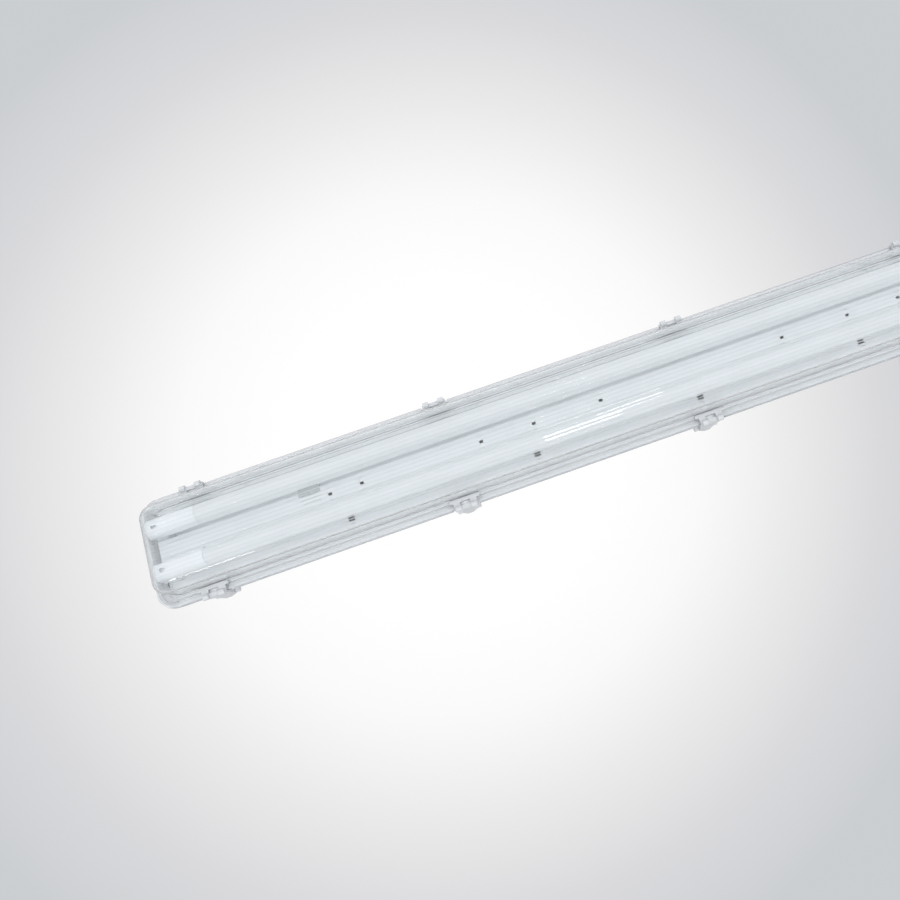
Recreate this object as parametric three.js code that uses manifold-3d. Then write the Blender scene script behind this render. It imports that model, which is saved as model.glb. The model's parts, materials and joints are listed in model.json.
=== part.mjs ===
// Weatherproof batten light for two straight lamps, hung under a ceiling.
// Sizes are in millimetres. +Z is up and z = 0 is the ceiling, so a depth is how far a thing lies below it.
// X runs along the fitting. The two long sides are alike, and the cable gland is in the +X end.

import * as THREE from 'three';
import { mergeVertices } from 'three/addons/utils/BufferGeometryUtils.js';
import Module from 'manifold-3d';

const wasm = await Module();
wasm.setup();

// Overall sizes
const RIM_DEPTH = 50; // ceiling to the front of the rim
const RIM_WIDTH = 14.7; // outer edge of the rim to the foot of the dome
const RIM_CORNER = 26; // plan radius of the rim
const DOME_CORNER = 20; // plan radius of the dome at its foot

// Clearances
const GAP = 0.3; // between two pieces that seat on each other
const RUNNING = 0.25; // round a pin or a shaft that turns
const OVERRUN = 1; // how far a cut runs past what it cuts
const FUSE = 1; // how far a boss or rib sinks into the wall that carries it

// Smoothness of round shapes
const CORNER_STEPS = 4;
const LUG_STEPS = 2;
const ROUND_SIDES = 24;
const PIN_SIDES = 10;
const HEX_SIDES = 6;
const QUARTER = Math.PI / 2;

// Diffuser
const DIFFUSER_WALL = 2;
const FLANGE_THICK = 3.2;
const DOME_DRAFT = 1.8; // how far the dome's wall leans in from its foot to its round edge
const DOME_EDGE = 10; // radius between the dome's wall and its front
const DOME_EDGE_STEPS = 4;
const SKIRT_THICK = 1.6;
const SKIRT_DROP = 3.8;
const TONGUE_THICK = 2;
const TONGUE_DROP = 3.2;
const TONGUE_INSET = 8; // rim edge to the middle of the tongue
const NOTCH_LENGTH = 38;

// Housing
const HOUSING_WALL = 2.5;
const PAD_HEIGHT = 3;
const PAD_SIZE = 56;
const PAD_CORNER = 6;
const PAD_RING = 12; // radius of the shallow ring in a pad, where a screw may be drilled through
const PAD_RING_WIDTH = 1.5;
const PAD_RING_DEPTH = 0.8;
const END_PAD_SHARE = 0.888; // of half the rim's length
const BACK_INSET = 21; // rim edge to the flat back
const SHOULDER_INSET = 16; // rim edge to the side, where it turns into the back
const SHOULDER_DROP = 6;
const SIDE_INSET = 10.7; // rim edge to the side, just above the rim
const CHANNEL_HEIGHT = 9; // height of the rim channel that holds the gasket
const CAVITY_INSET = 13.5;
const SKIRT_GAP = 0.4;
const GROOVE_WIDTH = 6;
const GROOVE_DEPTH = 6;
const LEAST_CORNER = 5;

// Gasket
const GASKET_HEIGHT = 2.4;

// Clips, in pairs along both sides
const CLIP_END = 77.3; // rim end to the middle of the last clip
const CLIP_PAIRS = 5;
const PIVOT_INSET = 4; // rim edge to the clip's pin
const PIVOT_DEPTH = 9;
const PIN_RADIUS = 1.9;
const BARREL_RADIUS = 4;
const BARREL_LENGTH = 22;
const LUG_THICK = 5.7;
const LUG_RADIUS = 4.5;
const LUG_ROOT = 8; // how much lower a lug's root reaches than its pin
const HOOK_LENGTH = 42;
const HOOK_WIDTH = 5.6;
const HOOK_REACH_GAP = 0.3; // hook to the foot of the dome
const CLIP_LENGTH = 33;
const CLIP_THICK = 4;
const CLIP_WALL = 2.8;
const CLIP_TAPER_START = 11; // pin to where the clip starts to widen
const EAR_LENGTH = 7.8;
const EAR_PITCH = 22;
const EAR_RADIUS = 4.2;
const EAR_INSET = 0.4; // rim edge to the middle of an ear
const WINDOW_LENGTH = 14;
const WINDOW_WIDTH = 5;
const GRIP_OUT = 3.5; // how far the rib under the fingers stands out of the rim's edge
const GRIP_TIP = 8; // length of that rib at its outer edge
const GRIP_TOP = 2.5; // pin up to the rib's top
const GRIP_FALL = 8; // pin down to where the rib starts to run back into the clip
const GRIP_END = 20; // pin down to where it has run in

// Lamps
const LAMP_LENGTH = 1500; // over the faces of the end caps; the whole fitting's length follows it
const LAMP_PITCH = 58.6;
const LAMP_DEPTH = 77.7; // ceiling to the middle of a lamp; the whole fitting's height follows it
const LAMP_RADIUS = 12.9;
const LAMP_WALL = 1.2;
const CAP_LENGTH = 51;
const CAP_WALL = 0.6;
const LAMP_CLEARANCE = 3; // end cap to the inside of the diffuser
const CAP_FACE = 2;
const CONTACT_LENGTH = 7.1;
const CONTACT_RADIUS = 1.18;
const CONTACT_PITCH = 12.7;
const BOARD_WIDTH = 18;
const BOARD_THICK = 1.6;
const BOARD_LIFT = 5.4; // lamp axis to the underside of the board
const CHIP_PITCH = 50;
const CHIP_SIZE = 3;
const CHIP_HEIGHT = 0.8;
const DRIVER_LENGTH = 150;
const DRIVER_BOARD_WIDTH = 22.8;
const DRIVER_WIDTH = 14;
const DRIVER_HEIGHT = 7;
const DRIVER_SPACING = 14; // cap face to the driver board, and driver board to the long board

// Lampholders
const HOLDER_THICK = 16;
const HOLDER_WIDTH = 25.6;
const HOLDER_MOUTH = 5; // width of the channel behind the face
const HOLDER_FACE = 2.7; // thickness of the face in front of that channel
const ROTOR_RADIUS = 8.7;
const ROTOR_BACK = 1.5;
const ROTOR_SLOT = 3;
const FOOT_LENGTH = 8;
const FOOT_WIDTH = 16;
const FOOT_DROP = 4;

// Gear tray
const TRAY_DEPTH = 43; // ceiling to the tray's front face
const TRAY_SHEET = 1;
const TRAY_WIDTH = 116;
const TRAY_MARGIN = 1.7; // lampholder to the end of the tray
const TRAY_END_GAP = 7; // end of the tray to the housing's rim
const TRAY_SIDE_GAP = 5.5; // side of the tray to the housing's rim
const TRAY_EDGE = 9; // height of the turned edges
const CHANNEL_DEPTH = 59; // ceiling to the front face of the raised channel
const CHANNEL_WIDTH = 32;
const SQUARE_HOLE_SHARES = [0, 0.3138, 0.6654]; // of half the tray's length, as for the other places along it
const SQUARE_HOLE_INSET = 19.2; // from the tray's edge
const SQUARE_HOLE_LENGTH = 9;
const SQUARE_HOLE_WIDTH = 5.6;
const DASH_INSET = 11;
const DASH_LENGTH = 6.5;
const DASH_WIDTH = 1;
const CENTRE_HOLE_SHARES = [0.175, 0.3025, 0.4023, 0.6263];
const LONE_HOLE_SHARE = 0.6855;
const CENTRE_HOLE_LENGTH = 5.2;
const CENTRE_HOLE_WIDTH = 3;
const REST_SHARES = [0, 0.235, 0.575, 0.9];
const REST_LENGTH = 14;
const REST_HEIGHT = 3.6;
const REST_REACH = 3; // how far a rest reaches in past the tray's edge

// Turn buttons that hold the tray up
const BUTTON_SHARES = [0.39, 0.83];
const BUTTON_INSET = 11; // from the tray's edge
const BUTTON_LENGTH = 20;
const BUTTON_WIDTH = 8;
const BUTTON_HEIGHT = 3;
const BUTTON_GRIP = 1.4; // thickness of the grip on the head
const STEM_RADIUS = 2.5;
const STEM_LENGTH = 12;
const POST_RADIUS = 6;

// Terminal block, set into a window of the channel
const BLOCK_SHARE = 0.7207;
const BLOCK_Y = 13.8;
const BLOCK_LENGTH = 30;
const BLOCK_WIDTH = 11.5;
const BLOCK_HEIGHT = 15;
const BLOCK_SCREWS = 3;
const BLOCK_SCREW_RADIUS = 1.9;
const BLOCK_SCREW_DEPTH = 3;
const SLOT_LENGTH = 27;
const SLOT_WIDTH = 1.6;
const SLOT_GAP = 4; // block to the slot beside it
const EARTH_SHARE = 0.7656;
const EARTH_Y = 30;
const EARTH_HEAD_RADIUS = 4;
const EARTH_HEAD_HEIGHT = 2.6;
const EARTH_SHANK_RADIUS = 2;
const EARTH_SHANK_LENGTH = 7;

// Wires behind the tray
const WIRE_RADIUS = 1.2;
const WIRE_SIDES = 8;
const WIRE_STEPS = 22;
const WIRE_START_Y = 13.2; // the outer wires where they leave the block
const WIRE_START_DEPTH = 46.5; // the shallower wires there
const WIRE_PITCH = 3.4;
const WIRE_PITCH_DEPTH = 4;
const WIRE_LEAD = 6;
const WIRE_CLIMB = 34;
const WIRE_SWEEP = 48;
const WIRE_LEVEL = 25; // depth of the run to the first lamp
const WIRE_LEVEL_PITCH = 6;
const WIRE_END_PITCH = 5;
const WIRE_BEND = 6;
const EARTH_WIRE_LEVEL = 29;

// Mounting brackets
const BRACKET_SHARE = 0.5073; // of half the rim's length
const BRACKET_WIDTH = 24;
const BRACKET_SHEET = 1.5;
const BRACKET_REACH = 10.5; // rim edge to the outside of a leg
const BRACKET_LEG = 13;
const BRACKET_LIP = 2.6;
const BRACKET_HOLE_LENGTH = 18;
const BRACKET_HOLE_WIDTH = 6.5;
const BRACKET_SIDE_HOLE = 2.6;
const BRACKET_SIDE_HOLE_Y = 38;
const CATCH_LENGTH = 30;
const CATCH_HEIGHT = 3.4;
const BRACKET_RIB_Y = 46;
const BRACKET_RIB_WIDTH = 8;

// Cable entries
const ENTRY_DEPTH = 21;
const ENTRY_RADIUS = 10.25;
const ENTRY_BOSS_RADIUS = 16;
const ENTRY_BOSS_OUT = 3; // how far the boss stands out of the end wall
const ENTRY_BOSS_LENGTH = 10;
const GLAND_THREAD_RADIUS = 10;
const GLAND_THREAD_LENGTH = 17;
const GLAND_HEX_RADIUS = 14;
const GLAND_HEX_LENGTH = 4;
const GLAND_NECK_RADIUS = 8.6;
const GLAND_NECK_LENGTH = 5;
const GLAND_NUT_LENGTH = 13;
const GLAND_NUT_RADIUS = 13;
const GLAND_NUT_TIP = 8;
const GLAND_BORE_RADIUS = 5.6;
const SEAL_RADIUS = 8.4;
const SEAL_LENGTH = 5;
const SEAL_BORE_RADIUS = 4.4;
const PLUG_HEAD_LENGTH = 5;
const PLUG_SLOT_WIDTH = 2;
const PLUG_SLOT_LENGTH = 16;
const LOCKNUT_LENGTH = 5;
const LOCKNUT_RADIUS = 13.5;
const REAR_ENTRY_SHARE = 0.7943;
const GROMMET_FLANGE_RADIUS = 13;
const GROMMET_FLANGE = 1.8;
const GROMMET_NECK_RADIUS = 9.9;
const GROMMET_DIMPLE_RADIUS = 5;

// Places worked out from the sizes
const lampX = LAMP_LENGTH / 2;
const trayX = lampX + GAP + HOLDER_THICK + TRAY_MARGIN;
const halfLength = trayX + TRAY_END_GAP + CAVITY_INSET;
const halfWidth = TRAY_WIDTH / 2 + TRAY_SIDE_GAP + CAVITY_INSET;
const endPadX = END_PAD_SHARE * halfLength;
const bracketX = BRACKET_SHARE * halfLength;
const rearEntryX = REAR_ENTRY_SHARE * trayX;
const blockX = BLOCK_SHARE * trayX;
const earthX = EARTH_SHARE * trayX;
const flangeBack = RIM_DEPTH - FLANGE_THICK;
const rimSeat = flangeBack - GAP; // depth of the housing's rim
const rimTop = rimSeat - CHANNEL_HEIGHT;
const skirtInset = SKIRT_THICK + SKIRT_GAP;
const backDepth = PAD_HEIGHT;
const shoulderDepth = PAD_HEIGHT + SHOULDER_DROP;
const pivotY = halfWidth - PIVOT_INSET;
const domeFootDepth = RIM_DEPTH;
const lampY = LAMP_PITCH / 2;
const capRadius = LAMP_RADIUS + GAP + CAP_WALL;
const height = LAMP_DEPTH + capRadius + LAMP_CLEARANCE + DIFFUSER_WALL; // ceiling to the front of the diffuser
const domeEdgeDepth = height - DOME_EDGE;
const footX = lampX + GAP + HOLDER_THICK / 2;
const trayBack = TRAY_DEPTH - TRAY_SHEET;
const trayEdgeDepth = TRAY_DEPTH - TRAY_EDGE;
const squareHoleY = TRAY_WIDTH / 2 - SQUARE_HOLE_INSET;
const dashY = TRAY_WIDTH / 2 - DASH_INSET;
const buttonY = TRAY_WIDTH / 2 - BUTTON_INSET;
const holderFoot = TRAY_DEPTH + GAP;
const tongueTip = flangeBack - TONGUE_DROP;
const gasketFront = tongueTip - GAP;
const grooveFloor = gasketFront - GASKET_HEIGHT - GAP;
const clipPitch = (2 * (halfLength - CLIP_END)) / (CLIP_PAIRS - 1);
const clipXs = Array.from({ length: CLIP_PAIRS }, (_, i) => (i - (CLIP_PAIRS - 1) / 2) * clipPitch);
const mirroredShares = (shares) => [...new Set(shares.flatMap((share) => [share, -share]))];
const bothWays = (shares) => mirroredShares(shares).map((share) => share * trayX);

// Solids

function solidOf(geometry) {
  const bare = new THREE.BufferGeometry();
  bare.setAttribute('position', geometry.getAttribute('position'));
  bare.setIndex(geometry.getIndex());
  const merged = mergeVertices(bare);
  return new wasm.Manifold(
    new wasm.Mesh({
      numProp: 3,
      vertProperties: new Float32Array(merged.getAttribute('position').array),
      triVerts: new Uint32Array(merged.getIndex().array),
    }),
  );
}

function geometryOf(solid) {
  const mesh = solid.getMesh();
  const geometry = new THREE.BufferGeometry();
  geometry.setAttribute('position', new THREE.BufferAttribute(new Float32Array(mesh.vertProperties), 3));
  geometry.setIndex(new THREE.BufferAttribute(new Uint32Array(mesh.triVerts), 1));
  geometry.computeVertexNormals();
  return geometry;
}

const join = (solids) => solids.reduce((whole, next) => whole.add(next));
const cut = (solid, cutters) => cutters.reduce((rest, next) => rest.subtract(next), solid);

// A block between two places on each axis.
function block([x0, x1], [y0, y1], [z0, z1]) {
  const geometry = new THREE.BoxGeometry(x1 - x0, y1 - y0, z1 - z0);
  geometry.translate((x0 + x1) / 2, (y0 + y1) / 2, (z0 + z1) / 2);
  return solidOf(geometry);
}

// A bar along X whose section is an outline of [y, z] points.
function barAlongX(outline, [x0, x1]) {
  const shape = new THREE.Shape(outline.map(([y, z]) => new THREE.Vector2(y, z)));
  const geometry = new THREE.ExtrudeGeometry(shape, { depth: x1 - x0, bevelEnabled: false });
  const turn = new THREE.Matrix4().makeBasis(
    new THREE.Vector3(0, 1, 0),
    new THREE.Vector3(0, 0, 1),
    new THREE.Vector3(1, 0, 0),
  );
  geometry.applyMatrix4(turn);
  geometry.translate(x0, 0, 0);
  return solidOf(geometry);
}

// A plate whose plan is an outline of [x, y] points.
function plate(outline, [z0, z1]) {
  const shape = new THREE.Shape(outline.map(([x, y]) => new THREE.Vector2(x, y)));
  const geometry = new THREE.ExtrudeGeometry(shape, { depth: z1 - z0, bevelEnabled: false });
  geometry.translate(0, 0, z0);
  return solidOf(geometry);
}

// A round bar along X or Z; six sides make a hexagon.
function rod(axis, radius, [from, to], [a, b], sides = ROUND_SIDES) {
  const geometry = new THREE.CylinderGeometry(radius, radius, to - from, sides);
  const middle = (from + to) / 2;
  if (axis === 'x') {
    geometry.rotateZ(-QUARTER);
    geometry.translate(middle, a, b);
  } else {
    geometry.rotateX(QUARTER);
    geometry.translate(a, b, middle);
  }
  return solidOf(geometry);
}

// A solid of revolution about X, from [radius, x] points.
function turnedAlongX(profile, [y, z], sides = ROUND_SIDES) {
  const geometry = new THREE.LatheGeometry(
    profile.map(([radius, along]) => new THREE.Vector2(radius, along)),
    sides,
  );
  geometry.rotateZ(-QUARTER);
  geometry.translate(0, y, z);
  return solidOf(geometry);
}

// The corner points of a rectangle with round corners, anticlockwise.
function roundedOutline(halfX, halfY, radius, steps = CORNER_STEPS) {
  const points = [];
  const signs = [[1, 1], [-1, 1], [-1, -1], [1, -1]];
  signs.forEach(([sx, sy], corner) => {
    for (let i = 0; i <= steps; i++) {
      const angle = (corner + i / steps) * QUARTER;
      points.push([
        sx * (halfX - radius) + radius * Math.cos(angle),
        sy * (halfY - radius) + radius * Math.sin(angle),
      ]);
    }
  });
  return points;
}

// A closed solid through rounded rectangles, listed from the deepest up. Each one lies inside the rim's outline
// by its inset, and its corner radius shrinks with it from the corner given for the whole.
function loft(levels, corner, cornerInset = 0) {
  const vertices = [];
  const triangles = [];
  const rings = levels.map(({ depth, inset }) => {
    const radius = Math.max(corner - (inset - cornerInset), LEAST_CORNER);
    return roundedOutline(halfLength - inset, halfWidth - inset, radius).map(([x, y]) => [x, y, -depth]);
  });
  const count = rings[0].length;
  rings.flat().forEach((point) => vertices.push(...point));
  for (let level = 0; level + 1 < rings.length; level++) {
    for (let i = 0; i < count; i++) {
      const [a, b] = [level * count + i, level * count + ((i + 1) % count)];
      triangles.push(a, b, b + count, a, b + count, a + count);
    }
  }
  const bottom = rings.length * count;
  const top = bottom + 1;
  vertices.push(0, 0, -levels[0].depth, 0, 0, -levels[levels.length - 1].depth);
  for (let i = 0; i < count; i++) {
    const next = (i + 1) % count;
    triangles.push(bottom, next, i, top, bottom - count + i, bottom - count + next);
  }
  const geometry = new THREE.BufferGeometry();
  geometry.setAttribute('position', new THREE.BufferAttribute(new Float32Array(vertices), 3));
  geometry.setIndex(triangles);
  return solidOf(geometry);
}

// A straight-walled ring that follows the rim, between two insets and two depths.
function rimRing([outerInset, innerInset], [deep, shallow], corner = RIM_CORNER) {
  const outer = [{ depth: deep, inset: outerInset }, { depth: shallow, inset: outerInset }];
  const inner = [
    { depth: deep + OVERRUN, inset: innerInset },
    { depth: shallow - OVERRUN, inset: innerInset },
  ];
  return loft(outer, corner).subtract(loft(inner, corner));
}

// Scene graph
const fitting = new THREE.Group();

const finishes = {
  housing: new THREE.MeshStandardMaterial({ color: 0xd4d8da, roughness: 0.5 }),
  clear: new THREE.MeshStandardMaterial({ color: 0xe6edf0, roughness: 0.15, transparent: true, opacity: 0.35 }),
  foam: new THREE.MeshStandardMaterial({ color: 0xc4c8ca, roughness: 0.95 }),
  paintedSteel: new THREE.MeshStandardMaterial({ color: 0xf2f4f5, roughness: 0.4 }),
  clip: new THREE.MeshStandardMaterial({ color: 0xd9dfe2, roughness: 0.3 }),
  white: new THREE.MeshStandardMaterial({ color: 0xf4f5f5, roughness: 0.4 }),
  frosted: new THREE.MeshStandardMaterial({ color: 0xdfe5e8, roughness: 0.35, transparent: true, opacity: 0.8 }),
  board: new THREE.MeshStandardMaterial({ color: 0xeeeee8, roughness: 0.5 }),
  block: new THREE.MeshStandardMaterial({ color: 0x9aa1a6, roughness: 0.5 }),
  stainless: new THREE.MeshStandardMaterial({ color: 0xc9ccce, roughness: 0.35, metalness: 1 }),
  rubber: new THREE.MeshStandardMaterial({ color: 0x3a3d40, roughness: 0.8 }),
  gland: new THREE.MeshStandardMaterial({ color: 0xbfc4c7, roughness: 0.5 }),
  brown: new THREE.MeshStandardMaterial({ color: 0x5a3420, roughness: 0.5 }),
  blue: new THREE.MeshStandardMaterial({ color: 0x2a5fa8, roughness: 0.5 }),
  green: new THREE.MeshStandardMaterial({ color: 0x6fa32c, roughness: 0.5 }),
};

function add(parent, name, solid, finish, position = [0, 0, 0], turn = 0) {
  const mesh = new THREE.Mesh(geometryOf(solid), finishes[finish]);
  mesh.name = name;
  mesh.position.set(...position);
  mesh.rotation.z = turn;
  parent.add(mesh);
  return mesh;
}

// Diffuser

// The dome's levels from its front up to its foot, and on to a depth above the flange.
function domeLevels(wall, shallow) {
  const footInset = RIM_WIDTH + wall;
  const edgeInset = footInset + DOME_DRAFT;
  const radius = DOME_EDGE - wall;
  const levels = [];
  for (let i = 0; i <= DOME_EDGE_STEPS; i++) {
    const angle = (i / DOME_EDGE_STEPS) * QUARTER;
    levels.push({
      depth: domeEdgeDepth + radius * Math.cos(angle),
      inset: edgeInset + radius - radius * Math.sin(angle),
    });
  }
  levels.push({ depth: domeFootDepth, inset: footInset });
  levels.push({ depth: shallow, inset: footInset });
  return levels;
}

function diffuser() {
  const flange = loft([{ depth: RIM_DEPTH, inset: 0 }, { depth: flangeBack, inset: 0 }], RIM_CORNER);
  const skirt = rimRing([0, SKIRT_THICK], [flangeBack + FLANGE_THICK / 2, flangeBack - SKIRT_DROP]);
  const tongue = rimRing(
    [TONGUE_INSET - TONGUE_THICK / 2, TONGUE_INSET + TONGUE_THICK / 2],
    [flangeBack + FLANGE_THICK / 2, tongueTip],
  );
  const dome = loft(domeLevels(0, flangeBack + FLANGE_THICK / 2), DOME_CORNER, RIM_WIDTH);
  const hollow = loft(domeLevels(DIFFUSER_WALL, flangeBack - OVERRUN), DOME_CORNER, RIM_WIDTH);
  const notches = clipXs.flatMap((x) =>
    [1, -1].map((side) => {
      const ys = [side * (halfWidth - SKIRT_THICK), side * (halfWidth + OVERRUN)].sort((a, b) => a - b);
      return block(
        [x - NOTCH_LENGTH / 2, x + NOTCH_LENGTH / 2],
        ys,
        [-RIM_DEPTH - OVERRUN, -flangeBack + SKIRT_DROP + OVERRUN],
      );
    }),
  );
  return cut(join([flange, skirt, tongue, dome]), [hollow, ...notches]);
}

// Housing

const bodyLevels = [
  { depth: rimTop + FUSE, inset: SIDE_INSET },
  { depth: rimTop, inset: SIDE_INSET },
  { depth: shoulderDepth, inset: SHOULDER_INSET },
  { depth: backDepth + SHOULDER_DROP / 3, inset: SHOULDER_INSET + (BACK_INSET - SHOULDER_INSET) / 3 },
  { depth: backDepth, inset: BACK_INSET },
];

const cavityLevels = [
  { depth: rimSeat + OVERRUN, inset: CAVITY_INSET },
  { depth: rimTop, inset: CAVITY_INSET },
  { depth: shoulderDepth, inset: SHOULDER_INSET + HOUSING_WALL },
  { depth: backDepth + HOUSING_WALL, inset: BACK_INSET + HOUSING_WALL },
];

// How far the outer side lies inside the rim's edge at a depth between the rim and the shoulder.
function sideInset(depth) {
  const share = (rimTop - depth) / (rimTop - shoulderDepth);
  return SIDE_INSET + share * (SHOULDER_INSET - SIDE_INSET);
}

// The two lugs that carry one clip's pin, for the +Y side.
function lugs(x) {
  const root = halfWidth - SHOULDER_INSET - HOUSING_WALL / 2;
  const outline = [[root, -PIVOT_DEPTH - LUG_ROOT]];
  for (let i = 0; i <= 2 * LUG_STEPS; i++) {
    const angle = -QUARTER + (i / LUG_STEPS) * QUARTER;
    outline.push([pivotY + LUG_RADIUS * Math.cos(angle), -PIVOT_DEPTH + LUG_RADIUS * Math.sin(angle)]);
  }
  outline.push([root, -PIVOT_DEPTH + LUG_RADIUS]);
  const inner = BARREL_LENGTH / 2 + GAP;
  const bore = rod(
    'x', PIN_RADIUS + RUNNING,
    [x - inner - LUG_THICK - OVERRUN, x + inner + LUG_THICK + OVERRUN],
    [pivotY, -PIVOT_DEPTH], PIN_SIDES,
  );
  return [
    barAlongX(outline, [x + inner, x + inner + LUG_THICK]).subtract(bore),
    barAlongX(outline, [x - inner - LUG_THICK, x - inner]).subtract(bore),
  ];
}

// The same solid turned half a turn about Z, for the other long side.
function turned(solid) {
  const geometry = geometryOf(solid);
  geometry.rotateZ(Math.PI);
  return solidOf(geometry);
}

function ceilingPad(x) {
  const outline = roundedOutline(PAD_SIZE / 2, PAD_SIZE / 2, PAD_CORNER).map(([px, py]) => [px + x, py]);
  const pad = plate(outline, [-backDepth - FUSE, 0]);
  const z = [-PAD_RING_DEPTH, OVERRUN];
  const ring = rod('z', PAD_RING, z, [x, 0]).subtract(
    rod('z', PAD_RING - PAD_RING_WIDTH, [z[0] - OVERRUN, z[1] + OVERRUN], [x, 0]),
  );
  return pad.subtract(ring);
}

// Ribs under a bracket's strap, and the catches that its lips hook under.
function bracketSeats(x) {
  const ribs = [1, -1].map((side) => {
    const middle = side * BRACKET_RIB_Y;
    return block(
      [x - BRACKET_WIDTH / 2, x + BRACKET_WIDTH / 2],
      [middle - BRACKET_RIB_WIDTH / 2, middle + BRACKET_RIB_WIDTH / 2],
      [-backDepth - FUSE, -BRACKET_SHEET - GAP],
    );
  });
  const lipTop = BRACKET_LEG - BRACKET_SHEET - GAP;
  const catches = [1, -1].map((side) => {
    const reach = halfWidth - BRACKET_REACH - BRACKET_SHEET - GAP;
    const ys = [side * (halfWidth - SHOULDER_INSET - FUSE), side * reach].sort((a, b) => a - b);
    return block([x - CATCH_LENGTH / 2, x + CATCH_LENGTH / 2], ys, [-lipTop, -lipTop + CATCH_HEIGHT]);
  });
  return [...ribs, ...catches];
}

// Small blocks on the inner walls that carry the tray's turned edges.
function trayRests(x) {
  const top = trayEdgeDepth - GAP;
  return [1, -1].map((side) => {
    const ys = [
      side * (TRAY_WIDTH / 2 - REST_REACH),
      side * (halfWidth - CAVITY_INSET + HOUSING_WALL / 2),
    ].sort((a, b) => a - b);
    return block([x - REST_LENGTH / 2, x + REST_LENGTH / 2], ys, [-top, -top + REST_HEIGHT]);
  });
}

function buttonPost(x) {
  const post = rod('z', POST_RADIUS, [-trayBack + GAP, -backDepth - HOUSING_WALL + FUSE], [x, buttonY]);
  const bore = rod(
    'z', STEM_RADIUS + RUNNING,
    [-trayBack - OVERRUN, -trayBack + STEM_LENGTH + GAP], [x, buttonY], PIN_SIDES,
  );
  return post.subtract(bore);
}

// Middle of the fitting to an entry boss's face
const entryFace = halfLength - sideInset(ENTRY_DEPTH) + ENTRY_BOSS_OUT;

function housing() {
  const channel = rimRing([skirtInset, CAVITY_INSET], [rimSeat, rimTop]);
  const shell = cut(loft(bodyLevels, RIM_CORNER), [loft(cavityLevels, RIM_CORNER)]);
  const groove = rimRing(
    [TONGUE_INSET - GROOVE_WIDTH / 2, TONGUE_INSET + GROOVE_WIDTH / 2],
    [rimSeat + OVERRUN, grooveFloor],
  );
  const boss = rod('x', ENTRY_BOSS_RADIUS, [entryFace - ENTRY_BOSS_LENGTH, entryFace], [0, -ENTRY_DEPTH]);
  const endBore = rod(
    'x', ENTRY_RADIUS, [entryFace - ENTRY_BOSS_LENGTH - OVERRUN, entryFace + OVERRUN], [0, -ENTRY_DEPTH],
  );
  const rearBore = rod(
    'z', ENTRY_RADIUS, [-backDepth - HOUSING_WALL - OVERRUN, -backDepth + OVERRUN], [rearEntryX, 0],
  );
  const sideLugs = clipXs.flatMap(lugs);
  const additions = [
    channel,
    boss,
    turned(boss),
    ...sideLugs,
    ...sideLugs.map(turned),
    ...[0, endPadX, -endPadX].map(ceilingPad),
    ...[bracketX, -bracketX].flatMap(bracketSeats),
    ...bothWays(REST_SHARES).flatMap(trayRests),
    ...bothWays(BUTTON_SHARES).map(buttonPost),
  ];
  return cut(join([shell, ...additions]), [groove, endBore, turned(endBore), rearBore]);
}

// Gasket

function gasket() {
  return rimRing(
    [TONGUE_INSET - GROOVE_WIDTH / 2 + GAP, TONGUE_INSET + GROOVE_WIDTH / 2 - GAP],
    [gasketFront, gasketFront - GASKET_HEIGHT],
  );
}

// Gear tray

// A hole through the tray, centred on x and y, from in front of the channel to behind the sheet.
function trayHole(x, y, length, width) {
  return block(
    [x - length / 2, x + length / 2],
    [y - width / 2, y + width / 2],
    [-CHANNEL_DEPTH - OVERRUN, -trayBack + OVERRUN],
  );
}

function tray() {
  const edge = TRAY_WIDTH / 2;
  const side = CHANNEL_WIDTH / 2;
  const half = [
    [edge - TRAY_SHEET, -trayEdgeDepth],
    [edge, -trayEdgeDepth],
    [edge, -TRAY_DEPTH],
    [side, -TRAY_DEPTH],
    [side, -CHANNEL_DEPTH],
  ];
  const back = [
    [side - TRAY_SHEET, -CHANNEL_DEPTH + TRAY_SHEET],
    [side - TRAY_SHEET, -trayBack],
    [edge - TRAY_SHEET, -trayBack],
  ];
  const mirrored = (points) => points.map(([y, z]) => [-y, z]).reverse();
  const outline = [...half, ...mirrored(half), ...mirrored(back), ...back];
  const sheet = barAlongX(outline, [-trayX, trayX]);
  const holes = [];
  for (const x of bothWays(SQUARE_HOLE_SHARES)) {
    for (const way of [1, -1]) {
      holes.push(trayHole(x, way * squareHoleY, SQUARE_HOLE_LENGTH, SQUARE_HOLE_WIDTH));
      holes.push(trayHole(x, way * dashY, DASH_LENGTH, DASH_WIDTH));
    }
  }
  for (const x of [...bothWays(CENTRE_HOLE_SHARES), LONE_HOLE_SHARE * trayX]) {
    holes.push(trayHole(x, 0, CENTRE_HOLE_LENGTH, CENTRE_HOLE_WIDTH));
  }
  for (const x of bothWays(BUTTON_SHARES)) {
    holes.push(trayHole(x, buttonY, BUTTON_LENGTH + 2 * GAP, BUTTON_WIDTH + 2 * GAP));
  }
  for (const x of [footX, -footX]) {
    for (const y of [lampY, -lampY]) {
      holes.push(trayHole(x, y, FOOT_LENGTH + 2 * GAP, FOOT_WIDTH + 2 * GAP));
    }
  }
  holes.push(trayHole(blockX, BLOCK_Y, BLOCK_LENGTH + 2 * GAP, BLOCK_WIDTH + 2 * GAP));
  const slotY = BLOCK_Y - BLOCK_WIDTH / 2 - SLOT_GAP - SLOT_WIDTH / 2;
  holes.push(trayHole(blockX, slotY, SLOT_LENGTH, SLOT_WIDTH));
  const screwHole = 2 * (EARTH_SHANK_RADIUS + GAP);
  holes.push(trayHole(earthX, EARTH_Y, screwHole, screwHole));
  return cut(sheet, holes);
}

// Lampholder and its rotor, with the lamp's axis on their own X axis and the lamp towards -X

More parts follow.
